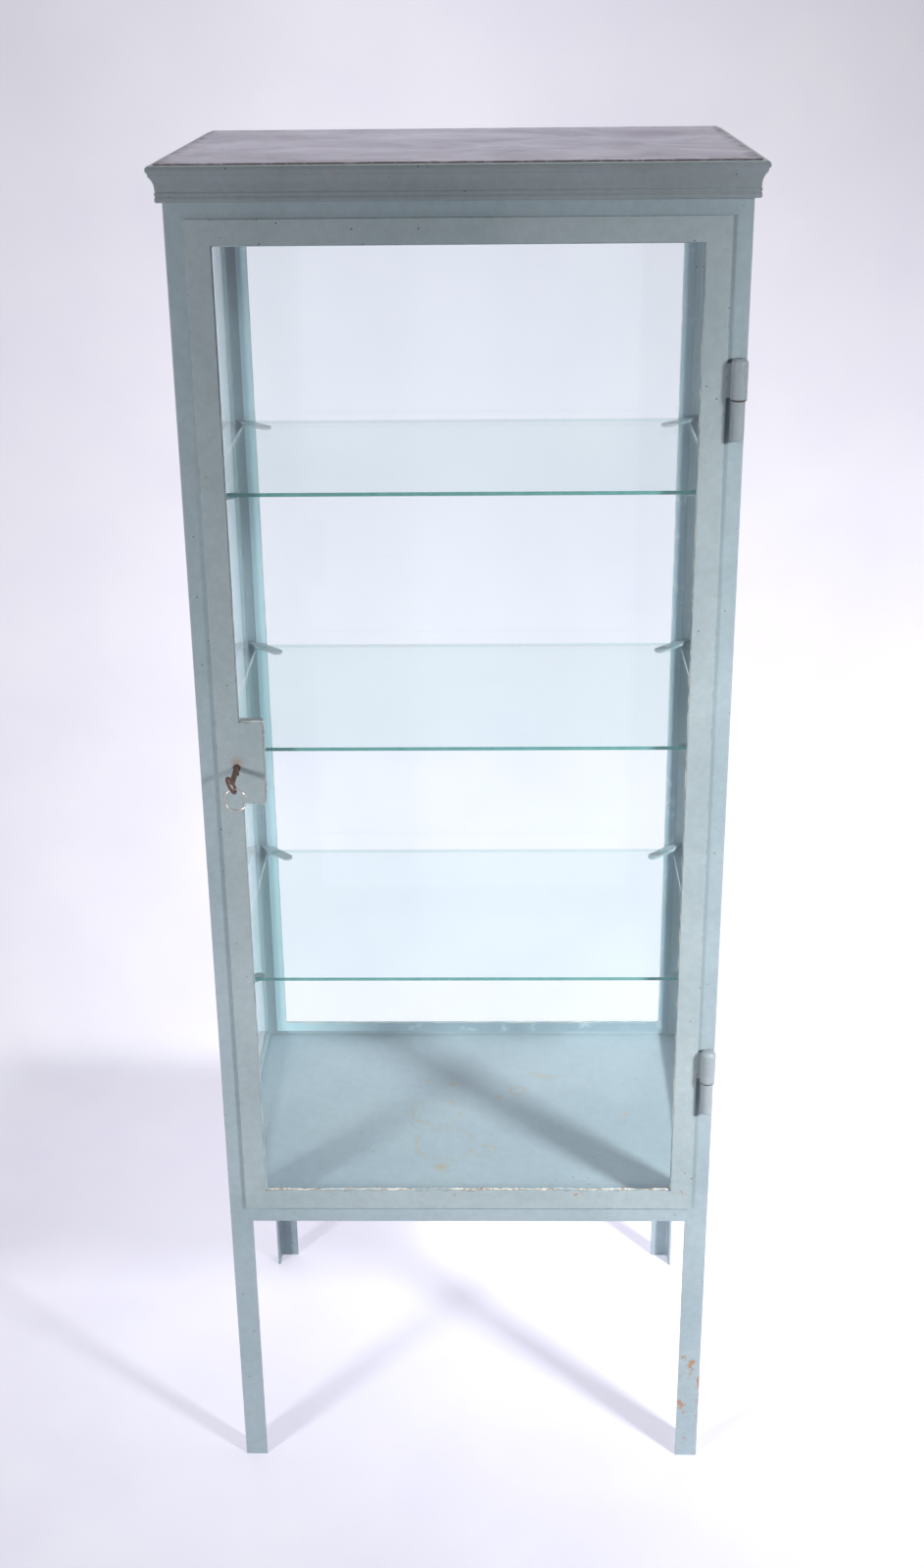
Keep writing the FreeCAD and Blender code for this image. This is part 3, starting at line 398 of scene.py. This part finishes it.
def fillet_look(name, chalk, paint, dirt, soiled):
    """Hand-smoothed putty: bare chalk and patches of a second tone 28 mm apart, crumbs of dirt two
    millimetres across over the soiled share of it, dull and lumpy."""
    material, tree, output = bare_material(name)
    where = add(tree, "ShaderNodeTexCoord").outputs["Object"]
    smear = add(tree, "ShaderNodeTexNoise", {"Vector": where, "Scale": 1 / (28 * MM), "Detail": 5.0,
                                             "Roughness": 0.7})
    smear_part = add(tree, "ShaderNodeMapRange", {"Value": smear.outputs["Fac"], "From Min": 0.44,
                                                  "From Max": 0.56})
    tone = add(tree, "ShaderNodeMix", {0: smear_part.outputs[0], 6: linear(chalk), 7: linear(paint)},
               data_type="RGBA")
    crumb = add(tree, "ShaderNodeTexNoise", {"Vector": where, "Scale": 1 / (4 * MM), "Detail": 4.0,
                                             "Roughness": 0.65})
    dirt_part = add(tree, "ShaderNodeMapRange", {"Value": crumb.outputs["Fac"], "From Min": 0.60 - soiled,
                                                 "From Max": 0.70 - soiled, "To Max": 0.75})
    dirty = add(tree, "ShaderNodeMix", {0: dirt_part.outputs[0], 6: tone.outputs[2], 7: linear(dirt)},
                data_type="RGBA")
    rough = add(tree, "ShaderNodeMapRange", {"Value": crumb.outputs["Fac"], "To Min": 0.6, "To Max": 0.95})
    lumps = add(tree, "ShaderNodeBump", {"Height": crumb.outputs["Fac"], "Strength": 0.6,
                                         "Distance": 0.4 * MM})
    shader = add(tree, "ShaderNodeBsdfPrincipled", {"Base Color": dirty.outputs[2],
                                                    "Roughness": rough.outputs[0],
                                                    "Normal": lumps.outputs[0]})
    tree.links.new(shader.outputs[0], output.inputs[0])
    return material


# Chalky putty with paint dragged over it: beige where it is bare, blue-grey where the brush caught it.
fillet_putty = fillet_look("linseed_putty_half_painted", "#D9D6C8", "#A9B6B9", "#8A8072", 0.0)

# The openings between posts and rails: bottom and top of the sight, and the panes' outer faces.
SIGHT_LOW, SIGHT_HIGH = 0.3835, 1.4835
BACK_OUT, SIDE_OUT = 0.2307, 0.2758
FIXED_HIGH = 3.5 * MM
fixed_widths = [1.8 * MM, 1.0 * MM, 1.0 * MM, 1.0 * MM]
corners = [(-POST_IN, BACK_OUT, SIGHT_LOW), (POST_IN, BACK_OUT, SIGHT_LOW),
           (POST_IN, BACK_OUT, SIGHT_HIGH), (-POST_IN, BACK_OUT, SIGHT_HIGH)]
edges_in = [(0, 0, 1), (-1, 0, 0), (0, 0, -1), (1, 0, 0)]
fillets = pane_fillets(corners, edges_in, (0, 1, 0), fixed_widths, FIXED_HIGH, 11)
back_fillet = skin_mesh("back_putty_fillet", fillets, fillet_putty)
edges_in = [(0, 0, 1), (0, -1, 0), (0, 0, -1), (0, 1, 0)]
for side, sign in (("left", -1), ("right", 1)):
    corners = [(sign * SIDE_OUT, FRONT_IN, SIGHT_LOW), (sign * SIDE_OUT, REAR_IN, SIGHT_LOW),
               (sign * SIDE_OUT, REAR_IN, SIGHT_HIGH), (sign * SIDE_OUT, FRONT_IN, SIGHT_HIGH)]
    fillets = pane_fillets(corners, edges_in, (sign, 0, 0), fixed_widths, FIXED_HIGH, 31 + 10 * sign)
    piece = skin_mesh(side + "_putty_fillet", fillets, fillet_putty)
    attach(piece, "cabinet")
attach(back_fillet, "cabinet")

# Shelf fingers: round-ended tongues of 3 mm plate, one under each shelf corner, welded by their noses
# into the corners of the posts and painted with the frame.
dress(frame_enamel, *[name for name in nodes if name.endswith("_support")])

# Shelves: 5 mm float glass cut to size with clipped corners, the rear ones more, loose on the fingers.
# The faces are clear; the cut edges gather light and show the green of the glass.
shelf_glass, tree, face_look, output = clear_glass("float_glass_with_green_edge", "#F9FDFC", 0.010)
turn = add(tree, "ShaderNodeNewGeometry")
lie = add(tree, "ShaderNodeSeparateXYZ", {0: turn.outputs["True Normal"]})
flat = add(tree, "ShaderNodeMath", {0: lie.outputs["Z"]}, operation="ABSOLUTE")
edge = add(tree, "ShaderNodeMath", {0: flat.outputs[0], 1: 0.7}, operation="LESS_THAN")
where = add(tree, "ShaderNodeTexCoord").outputs["Object"]
nick = add(tree, "ShaderNodeTexNoise", {"Vector": where, "Scale": 1 / (7 * MM), "Detail": 3.0})
green = add(tree, "ShaderNodeMix", {0: nick.outputs["Fac"], 6: linear("#4E908C"), 7: linear("#7DBAB5")},
            data_type="RGBA")
cut = add(tree, "ShaderNodeBsdfPrincipled", {"Base Color": green.outputs[2], "Roughness": 0.16,
                                             "IOR": 1.52})
outer = add(tree, "ShaderNodeMapRange", {"Value": turn.outputs["Backfacing"], "To Min": 1.0,
                                         "To Max": 0.22})
rim = add(tree, "ShaderNodeMath", {0: edge.outputs[0], 1: outer.outputs[0]}, operation="MULTIPLY")
whole = add(tree, "ShaderNodeMixShader", {0: rim.outputs[0], 1: face_look.outputs[0], 2: cut.outputs[0]})
tree.links.new(whole.outputs[0], output.inputs[0])


def cut_shelf(node, name, flake_at):
    """A cut sheet: its outline, clipped at the corners, is walked at even steps, and the profile of the
    edge, with both arrises rubbed off, is carried round it. A shell flake thins the top arris about the
    given place, by a parabola with a ripple on it."""
    flake_deep, flake_reach, ripple = 5 * MM, 13 * MM, 1.7 * MM
    low, high = (np.array(corner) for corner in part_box(node))
    rear, front, arris = 12 * MM, 5 * MM, 0.5 * MM
    corners = np.array([(low[0] + front, low[1]), (high[0] - front, low[1]), (high[0], low[1] + front),
                        (high[0], high[1] - rear), (high[0] - rear, high[1]), (low[0] + rear, high[1]),
                        (low[0], high[1] - rear), (low[0], low[1] + front), (low[0] + front, low[1])])
    run = np.concatenate([[0], np.cumsum(np.linalg.norm(np.diff(corners, axis=0), axis=1))])
    steps = np.unique(np.concatenate([np.arange(0, run[-1], 3 * MM), run[:-1]]))
    walk = np.stack([np.interp(steps, run, corners[:, 0]), np.interp(steps, run, corners[:, 1])], axis=-1)
    ahead = np.roll(walk, -1, axis=0) - np.roll(walk, 1, axis=0)
    inward = np.stack([-ahead[:, 1], ahead[:, 0]], axis=-1) / np.linalg.norm(ahead, axis=1)[:, None]
    away = np.linalg.norm(walk - np.array(flake_at), axis=1)
    flake = (flake_deep * np.clip(1 - (away / flake_reach) ** 2, 0, 1)
             * (0.75 + 0.25 * np.sin(steps / ripple)))
    inset = np.stack([np.full(len(steps), arris), np.zeros(len(steps)), 0.15 * flake, arris + flake], axis=0)
    heights = np.array([low[2], low[2] + arris, high[2] - arris, high[2]])
    rings = np.concatenate([walk[None] + inset[..., None] * inward[None],
                            np.broadcast_to(heights[:, None, None], (4, len(steps), 1))], axis=-1)
    piece = skin_mesh(name, [rings], shelf_glass)
    piece.data.polygons.foreach_set("use_smooth", np.zeros(len(piece.data.polygons), dtype=bool))
    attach(piece, "cabinet")
    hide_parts(node)


# Only the middle shelf is flaked, on its right edge. A place far off leaves a sheet whole.
WHOLE = (9.0, 9.0)
cut_shelf("upper_shelf", "upper_shelf_sheet", WHOLE)
cut_shelf("middle_shelf", "middle_shelf_sheet", (0.262, 0.060))
cut_shelf("lower_shelf", "lower_shelf_sheet", WHOLE)

# Hinges: lift-off pairs of turned steel knuckles on a pin, a leaf on the door and a lug on the post.
# Their paint has worn thinner and greyer than the frame's, with a dark band painted at each joint: old oil,
# and painted shade in the seam between the knuckles.
hinge_enamel, tree, shader, painted = enamel("thin_grey_enamel_on_knuckle", "#9AA5A8", "#8E999D", "#565250",
                                             0.0, MOPPED)
# A dark band is painted at each knuckle joint: old oil, and painted shade in the seam.
UPPER_JOINT, LOWER_JOINT, OIL_AND_SEAM_BAND = 1.3162, 0.5445, 1.2 * MM
place = add(tree, "ShaderNodeSeparateXYZ", {0: add(tree, "ShaderNodeTexCoord").outputs["Object"]})
from_upper = add(tree, "ShaderNodeMath", {0: place.outputs["Z"], 1: UPPER_JOINT, 2: OIL_AND_SEAM_BAND},
                 operation="COMPARE")
from_lower = add(tree, "ShaderNodeMath", {0: place.outputs["Z"], 1: LOWER_JOINT, 2: OIL_AND_SEAM_BAND},
                 operation="COMPARE")
joint = add(tree, "ShaderNodeMath", {0: from_upper.outputs[0], 1: from_lower.outputs[0]},
            operation="MAXIMUM")
oil_and_seam_shade = add(tree, "ShaderNodeMix", {0: joint.outputs[0], 6: painted, 7: linear("#4B4A48")},
            data_type="RGBA")
tree.links.new(oil_and_seam_shade.outputs[2], shader.inputs["Base Color"])
dress(hinge_enamel, "upper_hinge_post_knuckle", "lower_hinge_post_knuckle")
dress(hinge_enamel, "upper_hinge_door_knuckle", "lower_hinge_door_knuckle")

# Drawn steel: bright, with soft dull patches where it has been handled.
pin_steel, tree, output = bare_material("bright_drawn_steel")
where = add(tree, "ShaderNodeTexCoord").outputs["Object"]
rub = add(tree, "ShaderNodeTexNoise", {"Vector": where, "Scale": 1 / (4 * MM), "Detail": 4.0})
tone = add(tree, "ShaderNodeMix", {0: rub.outputs["Fac"], 6: linear("#B9B8B6"), 7: linear("#8B8782")},
           data_type="RGBA")
rough = add(tree, "ShaderNodeMapRange", {"Value": rub.outputs["Fac"], "To Min": 0.18, "To Max": 0.42})
drawn = add(tree, "ShaderNodeBump", {"Height": rub.outputs["Fac"], "Strength": 0.2, "Distance": 0.1 * MM})
shader = add(tree, "ShaderNodeBsdfPrincipled", {"Base Color": tone.outputs[2],
                                                "Roughness": rough.outputs[0], "Metallic": 1.0,
                                                "Normal": drawn.outputs[0]})
tree.links.new(shader.outputs[0], output.inputs[0])
dress(pin_steel, "upper_hinge_pin", "lower_hinge_pin")

# Door frame: four rolled T bars, flange on the door's face and web into the doorway, mitred, welded and
# ground flush at the corners. It closes on the front of the posts, and rusts along its sill.
DOOR_SIDE, DOOR_LOW, DOOR_HIGH, DOOR_PANE = 0.2358, 0.3936, 1.4649, -0.1729
PLATE_EDGE, PLATE_LOW, PLATE_HIGH = -0.2110, 0.887, 0.979
BAR = 12.4 * MM
mitres = [(("X", sign * (DOOR_SIDE + BAR), BAR), ("Z", z, BAR))
          for sign in (-1, 1) for z in (DOOR_LOW - BAR, DOOR_HIGH + BAR)]
plate_half = (PLATE_HIGH - PLATE_LOW) / 2 - 1 * MM
plate_joint = (("X", -DOOR_SIDE, GROUND), ("Z", (PLATE_LOW + PLATE_HIGH) / 2, plate_half))
door_enamel, tree, shader, painted = enamel("blue_grey_enamel_on_door", "#A6B4B7", "#9BAAAD", "#5C554E",
                                            0.09, (DOOR_LOW, 0.02), [*mitres, plate_joint])

# A brown stain has run from the keyhole, where the key's rust meets the paint.
KEYHOLE = (-0.2404, -0.1771, 0.934)
where = add(tree, "ShaderNodeTexCoord").outputs["Object"]
off = add(tree, "ShaderNodeVectorMath", {0: where, 1: KEYHOLE}, operation="DISTANCE")
halo = add(tree, "ShaderNodeMapRange", {"Value": off.outputs["Value"], "From Min": 9 * MM,
                                        "From Max": 3 * MM, "To Max": 0.55})
stained = add(tree, "ShaderNodeMix", {0: halo.outputs[0], 6: painted, 7: linear("#A38B74")},
              data_type="RGBA")
tree.links.new(stained.outputs[2], shader.inputs["Base Color"])
dress(door_enamel, "door_hinge_stile", "door_lock_stile", "door_top_rail", "door_bottom_rail")
dress(pane_glass, "door_glass")

# The door's putty runs round the opening and the lock plate: sill, hinge side, top, lock side above the
# plate, the plate's top, edge and bottom, and the lock side below it.
corners = [(-DOOR_SIDE, DOOR_PANE, DOOR_LOW), (DOOR_SIDE, DOOR_PANE, DOOR_LOW),
           (DOOR_SIDE, DOOR_PANE, DOOR_HIGH), (-DOOR_SIDE, DOOR_PANE, DOOR_HIGH),
           (-DOOR_SIDE, DOOR_PANE, PLATE_HIGH), (PLATE_EDGE, DOOR_PANE, PLATE_HIGH),
           (PLATE_EDGE, DOOR_PANE, PLATE_LOW), (-DOOR_SIDE, DOOR_PANE, PLATE_LOW)]
edges_in = [(0, 0, 1), (-1, 0, 0), (0, 0, -1), (1, 0, 0), (0, 0, 1), (1, 0, 0), (0, 0, -1), (1, 0, 0)]
door_widths = np.array([2.2, 1.2, 0.6, 0.9, 1.9, 1.7, 3.6, 0.8]) * MM
fillets = pane_fillets(corners, edges_in, (0, -1, 0), door_widths, 3.0 * MM, 71)

# Newer, whiter putty shows round the lock and, soiled with rust, along the sill.
lock_white = fillet_look("white_putty_round_the_lock", "#E2E3DE", "#BCC5C6", "#A8977D", 0.05)
sill_white = fillet_look("white_putty_on_the_sill", "#D8D8D2", "#B0B9B9", "#8C6A50", 0.10)
for name, chosen, look in (("door_putty_fillet", fillets[1:4] + fillets[7:], fillet_putty),
                           ("sill_putty_fillet", fillets[:1], sill_white),
                           ("lock_putty_fillet", fillets[4:7], lock_white)):
    piece = skin_mesh(name, chosen, look)
    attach(piece, "door")

# Lock: a flat steel face plate let into the glass, with a thin case and a sliding bolt behind the stile.
# The plate is painted with the door; case, cover and bolt are bare.
dress(door_enamel, "lock_plate")
dress(pin_steel, "lock_case", "lock_cover", "lock_bolt")

# Key: turned and bent from iron bar and wire, with a round bow and a flat bit.
# Rust has browned it all over, darker in the pits.
key_iron, tree, output = bare_material("rusted_iron_bar")
where = add(tree, "ShaderNodeTexCoord").outputs["Object"]
scale = add(tree, "ShaderNodeTexNoise", {"Vector": where, "Scale": 1 / (3 * MM), "Detail": 6.0,
                                         "Roughness": 0.7})
tone = add(tree, "ShaderNodeMix", {0: scale.outputs["Fac"], 6: linear("#4E3A34"), 7: linear("#86695C")},
           data_type="RGBA")
pit = add(tree, "ShaderNodeBump", {"Height": scale.outputs["Fac"], "Strength": 0.6, "Distance": 0.3 * MM})
rough = add(tree, "ShaderNodeMapRange", {"Value": scale.outputs["Fac"], "To Min": 0.5, "To Max": 0.85})
shader = add(tree, "ShaderNodeBsdfPrincipled", {"Base Color": tone.outputs[2],
                                                "Roughness": rough.outputs[0],
                                                "Normal": pit.outputs[0], "Metallic": 0.3})
tree.links.new(shader.outputs[0], output.inputs[0])
dress(key_iron, "key")


# Key ring: a split ring of nickel-plated spring wire, two close turns through the bow.
# It hangs loose from the bow's lowest wire.
def split_ring(middle, radius, wire, seam):
    """Two turns of wire: the angle runs twice round, the turn shifts sideways by one wire over the seam
    angle, and a circle of the wire's radius is carried along it."""
    points_round, points_about, pitch = 96, 12, 2.05 * wire
    angle = np.linspace(0, 4 * math.pi, 2 * points_round + 1)
    shift = np.clip((angle - 2 * math.pi) / seam, -0.5, 0.5) * pitch
    out = np.stack([np.cos(angle), np.zeros_like(angle), np.sin(angle)], axis=-1)
    side = np.array([0.0, 1.0, 0.0])
    path = np.array(middle) + radius * out + shift[:, None] * side
    around = np.linspace(0, 2 * math.pi, points_about + 1)[:-1]
    return (path[:, None] + wire * np.cos(around)[None, :, None] * out[:, None]
            + wire * np.sin(around)[None, :, None] * side)


# Worn nickel plate: bright, with a breath of rust warming the tone in patches.
ring_nickel, tree, output = bare_material("worn_nickel_plated_wire")
where = add(tree, "ShaderNodeTexCoord").outputs["Object"]
worn = add(tree, "ShaderNodeTexNoise", {"Vector": where, "Scale": 1 / (5 * MM), "Detail": 4.0})
tone = add(tree, "ShaderNodeMix", {0: worn.outputs["Fac"], 6: linear("#E6E2DC"), 7: linear("#BFA893")},
           data_type="RGBA")
rough = add(tree, "ShaderNodeMapRange", {"Value": worn.outputs["Fac"], "To Min": 0.12, "To Max": 0.34})
scratch = add(tree, "ShaderNodeBump", {"Height": worn.outputs["Fac"], "Strength": 0.2,
                                       "Distance": 0.1 * MM})
shader = add(tree, "ShaderNodeBsdfPrincipled", {"Base Color": tone.outputs[2],
                                                "Roughness": rough.outputs[0], "Metallic": 1.0,
                                                "Normal": scratch.outputs[0]})
tree.links.new(shader.outputs[0], output.inputs[0])
ring_low, ring_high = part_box("key_ring")
ring_middle = (ring_low + ring_high) / 2
RING_WIRE, RING_SEAM = 0.62 * MM, 0.9
ring_radius = (ring_high.x - ring_low.x) / 2 - RING_WIRE
ring = skin_mesh("split_ring", [split_ring(ring_middle, ring_radius, RING_WIRE, RING_SEAM)], ring_nickel)
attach(ring, "key_ring")
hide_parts("key_ring")

# Studio: a sheet of white paper swept up behind the cabinet, a soft box on each side in front, a weak one
# above, and the camera a little above the top. None of it is part of the cabinet.
PAPER_REACH, SWEEP_START, SWEEP_RADIUS, SWEEP_TOP = 5.0, 0.55, 0.20, 4.0


def seen_rays(tree):
    """One for rays that look at the surface, straight, by reflection or through glass, and nought for the
    rays that gather light."""
    ray = add(tree, "ShaderNodeLightPath")
    seen = add(tree, "ShaderNodeMath", {0: ray.outputs["Is Camera Ray"], 1: ray.outputs["Is Glossy Ray"]},
               operation="MAXIMUM")
    return add(tree, "ShaderNodeMath", {0: seen.outputs[0], 1: ray.outputs["Is Transmission Ray"]},
               operation="MAXIMUM").outputs[0]


def sweep(across, along):
    """The paper: flat along y to the start of the bend, a quarter circle, then straight up."""
    bend = SWEEP_RADIUS * math.pi / 2
    turn = np.clip((along - SWEEP_START) / SWEEP_RADIUS, 0, math.pi / 2)
    y = np.minimum(along, SWEEP_START) + SWEEP_RADIUS * np.sin(turn)
    z = SWEEP_RADIUS * (1 - np.cos(turn)) + np.maximum(along - SWEEP_START - bend, 0)
    return np.stack([across, y, z], axis=-1)


# Matt white paper, lilac in the shade. The wall glows by itself, with painted shade towards its corners, and
# the floor glows a little for the eye alone, so that it keeps the cabinet's shadow.
FLOOR_GLOW, WALL_GLOW = 0.34, 0.9
paper, tree, output = bare_material("white_paper_sweep")
where = add(tree, "ShaderNodeTexCoord").outputs["Object"]
place = add(tree, "ShaderNodeSeparateXYZ", {0: where})
fibre = add(tree, "ShaderNodeTexNoise", {"Vector": where, "Scale": 1 / (180 * MM), "Detail": 5.0})
fibre_part = add(tree, "ShaderNodeMapRange", {"Value": fibre.outputs["Fac"], "From Min": 0.3,
                                              "From Max": 0.7})
tone = add(tree, "ShaderNodeMix", {0: fibre_part.outputs[0], 6: linear("#EFEDFA"), 7: linear("#F5F3FD")},
           data_type="RGBA")
matt = add(tree, "ShaderNodeBsdfDiffuse", {"Color": tone.outputs[2]})

# Painted light: the glow is brightest low in the middle, with painted shade towards the upper corners of the
# wall and a painted shadow of the cabinet at the lower left, on wall and floor.
height = add(tree, "ShaderNodeMapRange", {"Value": place.outputs["Z"], "From Min": 0.1, "From Max": 1.9,
                                          "To Min": 1.20, "To Max": 0.91}, interpolation_type="SMOOTHSTEP")
sideways = add(tree, "ShaderNodeMath", {0: place.outputs["X"], 1: 0.10}, operation="ADD")
off_side = add(tree, "ShaderNodeMath", {0: sideways.outputs[0]}, operation="ABSOLUTE")
corner = add(tree, "ShaderNodeMapRange", {"Value": off_side.outputs[0], "From Min": 0.1, "From Max": 0.95,
                                          "To Max": 0.40})
upper = add(tree, "ShaderNodeMapRange", {"Value": place.outputs["Z"], "From Min": 0.5, "From Max": 1.8})
painted_corner_shade = add(tree, "ShaderNodeMath", {0: corner.outputs[0], 1: upper.outputs[0]}, operation="MULTIPLY")
left = add(tree, "ShaderNodeMapRange", {"Value": place.outputs["X"], "From Min": -0.30, "From Max": -0.95,
                                        "To Max": 0.32})
lower = add(tree, "ShaderNodeMapRange", {"Value": place.outputs["Z"], "From Min": 1.3, "From Max": 0.5})
painted_shadow_lower_left = add(tree, "ShaderNodeMath", {0: left.outputs[0], 1: lower.outputs[0]}, operation="MULTIPLY")
painted_shade_and_shadow = add(tree, "ShaderNodeMath", {0: painted_corner_shade.outputs[0], 1: painted_shadow_lower_left.outputs[0]}, operation="ADD")
lit = add(tree, "ShaderNodeMath", {0: height.outputs[0], 1: painted_shade_and_shadow.outputs[0]}, operation="SUBTRACT")
glow = add(tree, "ShaderNodeEmission", {"Color": tone.outputs[2], "Strength": lit.outputs[0]})
floor_part = add(tree, "ShaderNodeMath", {0: seen_rays(tree), 1: FLOOR_GLOW}, operation="MULTIPLY")
wall = add(tree, "ShaderNodeMapRange", {"Value": place.outputs["Z"], "From Min": 0.0, "From Max": 0.10,
                                        "To Min": 0.0, "To Max": WALL_GLOW}, interpolation_type="SMOOTHSTEP")
part = add(tree, "ShaderNodeMath", {0: floor_part.outputs[0], 1: wall.outputs[0]}, operation="MAXIMUM")
mixed = add(tree, "ShaderNodeMixShader", {0: part.outputs[0], 1: matt.outputs[0], 2: glow.outputs[0]})

# The back of the paper is left out, so that the cabinet shows from behind it too.
rear = add(tree, "ShaderNodeNewGeometry")
nothing = add(tree, "ShaderNodeBsdfTransparent")
one_sided = add(tree, "ShaderNodeMixShader", {0: rear.outputs["Backfacing"], 1: mixed.outputs[0],
                                              2: nothing.outputs[0]})
tree.links.new(one_sided.outputs[0], output.inputs[0])

# Rows of the sheet: few on the floor, close together round the bend and just past it, and one at the top.
flat_steps = np.linspace(-PAPER_REACH, SWEEP_START, 4)
bend_steps = np.linspace(SWEEP_START, SWEEP_START + 0.32, 24)[1:]
across, along = np.meshgrid(np.linspace(-PAPER_REACH, PAPER_REACH, 3),
                            np.concatenate([flat_steps, bend_steps, [SWEEP_TOP]]))
points = sweep(across, along)
index = np.arange(points.shape[0] * points.shape[1]).reshape(points.shape[:2])
quads = np.stack([index[:-1, :-1], index[:-1, 1:], index[1:, 1:], index[1:, :-1]], axis=-1).reshape(-1, 4)

# A second sheet carries the floor on behind the bend, for views from the back.
rear_sheet = np.array([(-PAPER_REACH, SWEEP_START, 0.0), (PAPER_REACH, SWEEP_START, 0.0),
                       (PAPER_REACH, PAPER_REACH, 0.0), (-PAPER_REACH, PAPER_REACH, 0.0)])
quads = np.concatenate([quads, index.size + np.arange(4)[None]])
points = np.concatenate([points.reshape(-1, 3), rear_sheet])
mesh = bpy.data.meshes.new("paper_sweep")
mesh.from_pydata(points.tolist(), [], quads.tolist())
mesh.polygons.foreach_set("use_smooth", np.ones(len(quads), dtype=bool))
mesh.materials.append(paper)
backdrop = bpy.data.objects.new("paper_sweep", mesh)
bpy.context.scene.collection.objects.link(backdrop)

# The room: pale to the eye and in reflections, dim as a source of light.
ROOM_LIGHT, ROOM_SEEN = 0.13, 0.85
world = bpy.data.worlds.new("studio_room")
world.use_nodes = True
bpy.context.scene.world = world
tree = world.node_tree
tree.nodes.clear()
room = add(tree, "ShaderNodeMapRange", {"Value": seen_rays(tree), "To Min": ROOM_LIGHT,
                                        "To Max": ROOM_SEEN})
air = add(tree, "ShaderNodeBackground", {"Color": linear("#E9E8F4"), "Strength": room.outputs[0]})
tree.links.new(air.outputs[0], add(tree, "ShaderNodeOutputWorld").inputs[0])


def soft_lamp(name, place, aim, width, spread, watts):
    """A square soft box that faces the aim point, its light held within the spread angle by a grid."""
    light = bpy.data.lights.new(name, "AREA")
    light.shape = "SQUARE"
    light.size = width
    light.spread = math.radians(spread)
    light.energy = watts
    lamp = bpy.data.objects.new(name, light)
    lamp.location = place
    lamp.rotation_euler = (Vector(aim) - Vector(place)).to_track_quat("-Z", "Y").to_euler()
    bpy.context.scene.collection.objects.link(lamp)


soft_lamp("right_soft_box", (1.90, -1.82, 1.86), (0.90, 0.0, 0.72), 0.36, 55.3, 16.0)
soft_lamp("left_soft_box", (-1.88, -2.09, 1.49), (0.16, 0.0, -0.03), 0.40, 105.9, 15.0)
soft_lamp("rear_soft_box", (0.0, 0.45, 2.30), (0.0, 0.10, 0.40), 1.0, 120.0, 4.0)

# The camera looks down on the cabinet from a little above its top, nearly square to the door.
EYE, LENS, SENSOR = Vector((0.03666, -2.05792, 1.70191)), 44.14, 36.0
YAW, PITCH, ROLL = (math.radians(angle) for angle in (-1.17, 22.86, -0.63))
forward = Vector((math.sin(YAW) * math.cos(PITCH), math.cos(YAW) * math.cos(PITCH), -math.sin(PITCH)))
level = Vector((math.cos(YAW), -math.sin(YAW), 0.0))
right = level * math.cos(ROLL) + level.cross(forward) * math.sin(ROLL)
up = right.cross(forward)
lens = bpy.data.cameras.new("photo_camera")
lens.lens = LENS
lens.sensor_width = SENSOR
camera = bpy.data.objects.new("photo_camera", lens)
turned = Matrix((right, up, -forward)).transposed()
camera.matrix_world = Matrix.Translation(EYE) @ turned.to_4x4()
bpy.context.scene.collection.objects.link(camera)
bpy.context.scene.camera = camera
bpy.context.scene.view_settings.view_transform = "Standard"

# Light has to pass the door, the shelves and the back on its way in and out: up to twenty faces of glass.
bpy.context.scene.cycles.transparent_max_bounces = 32
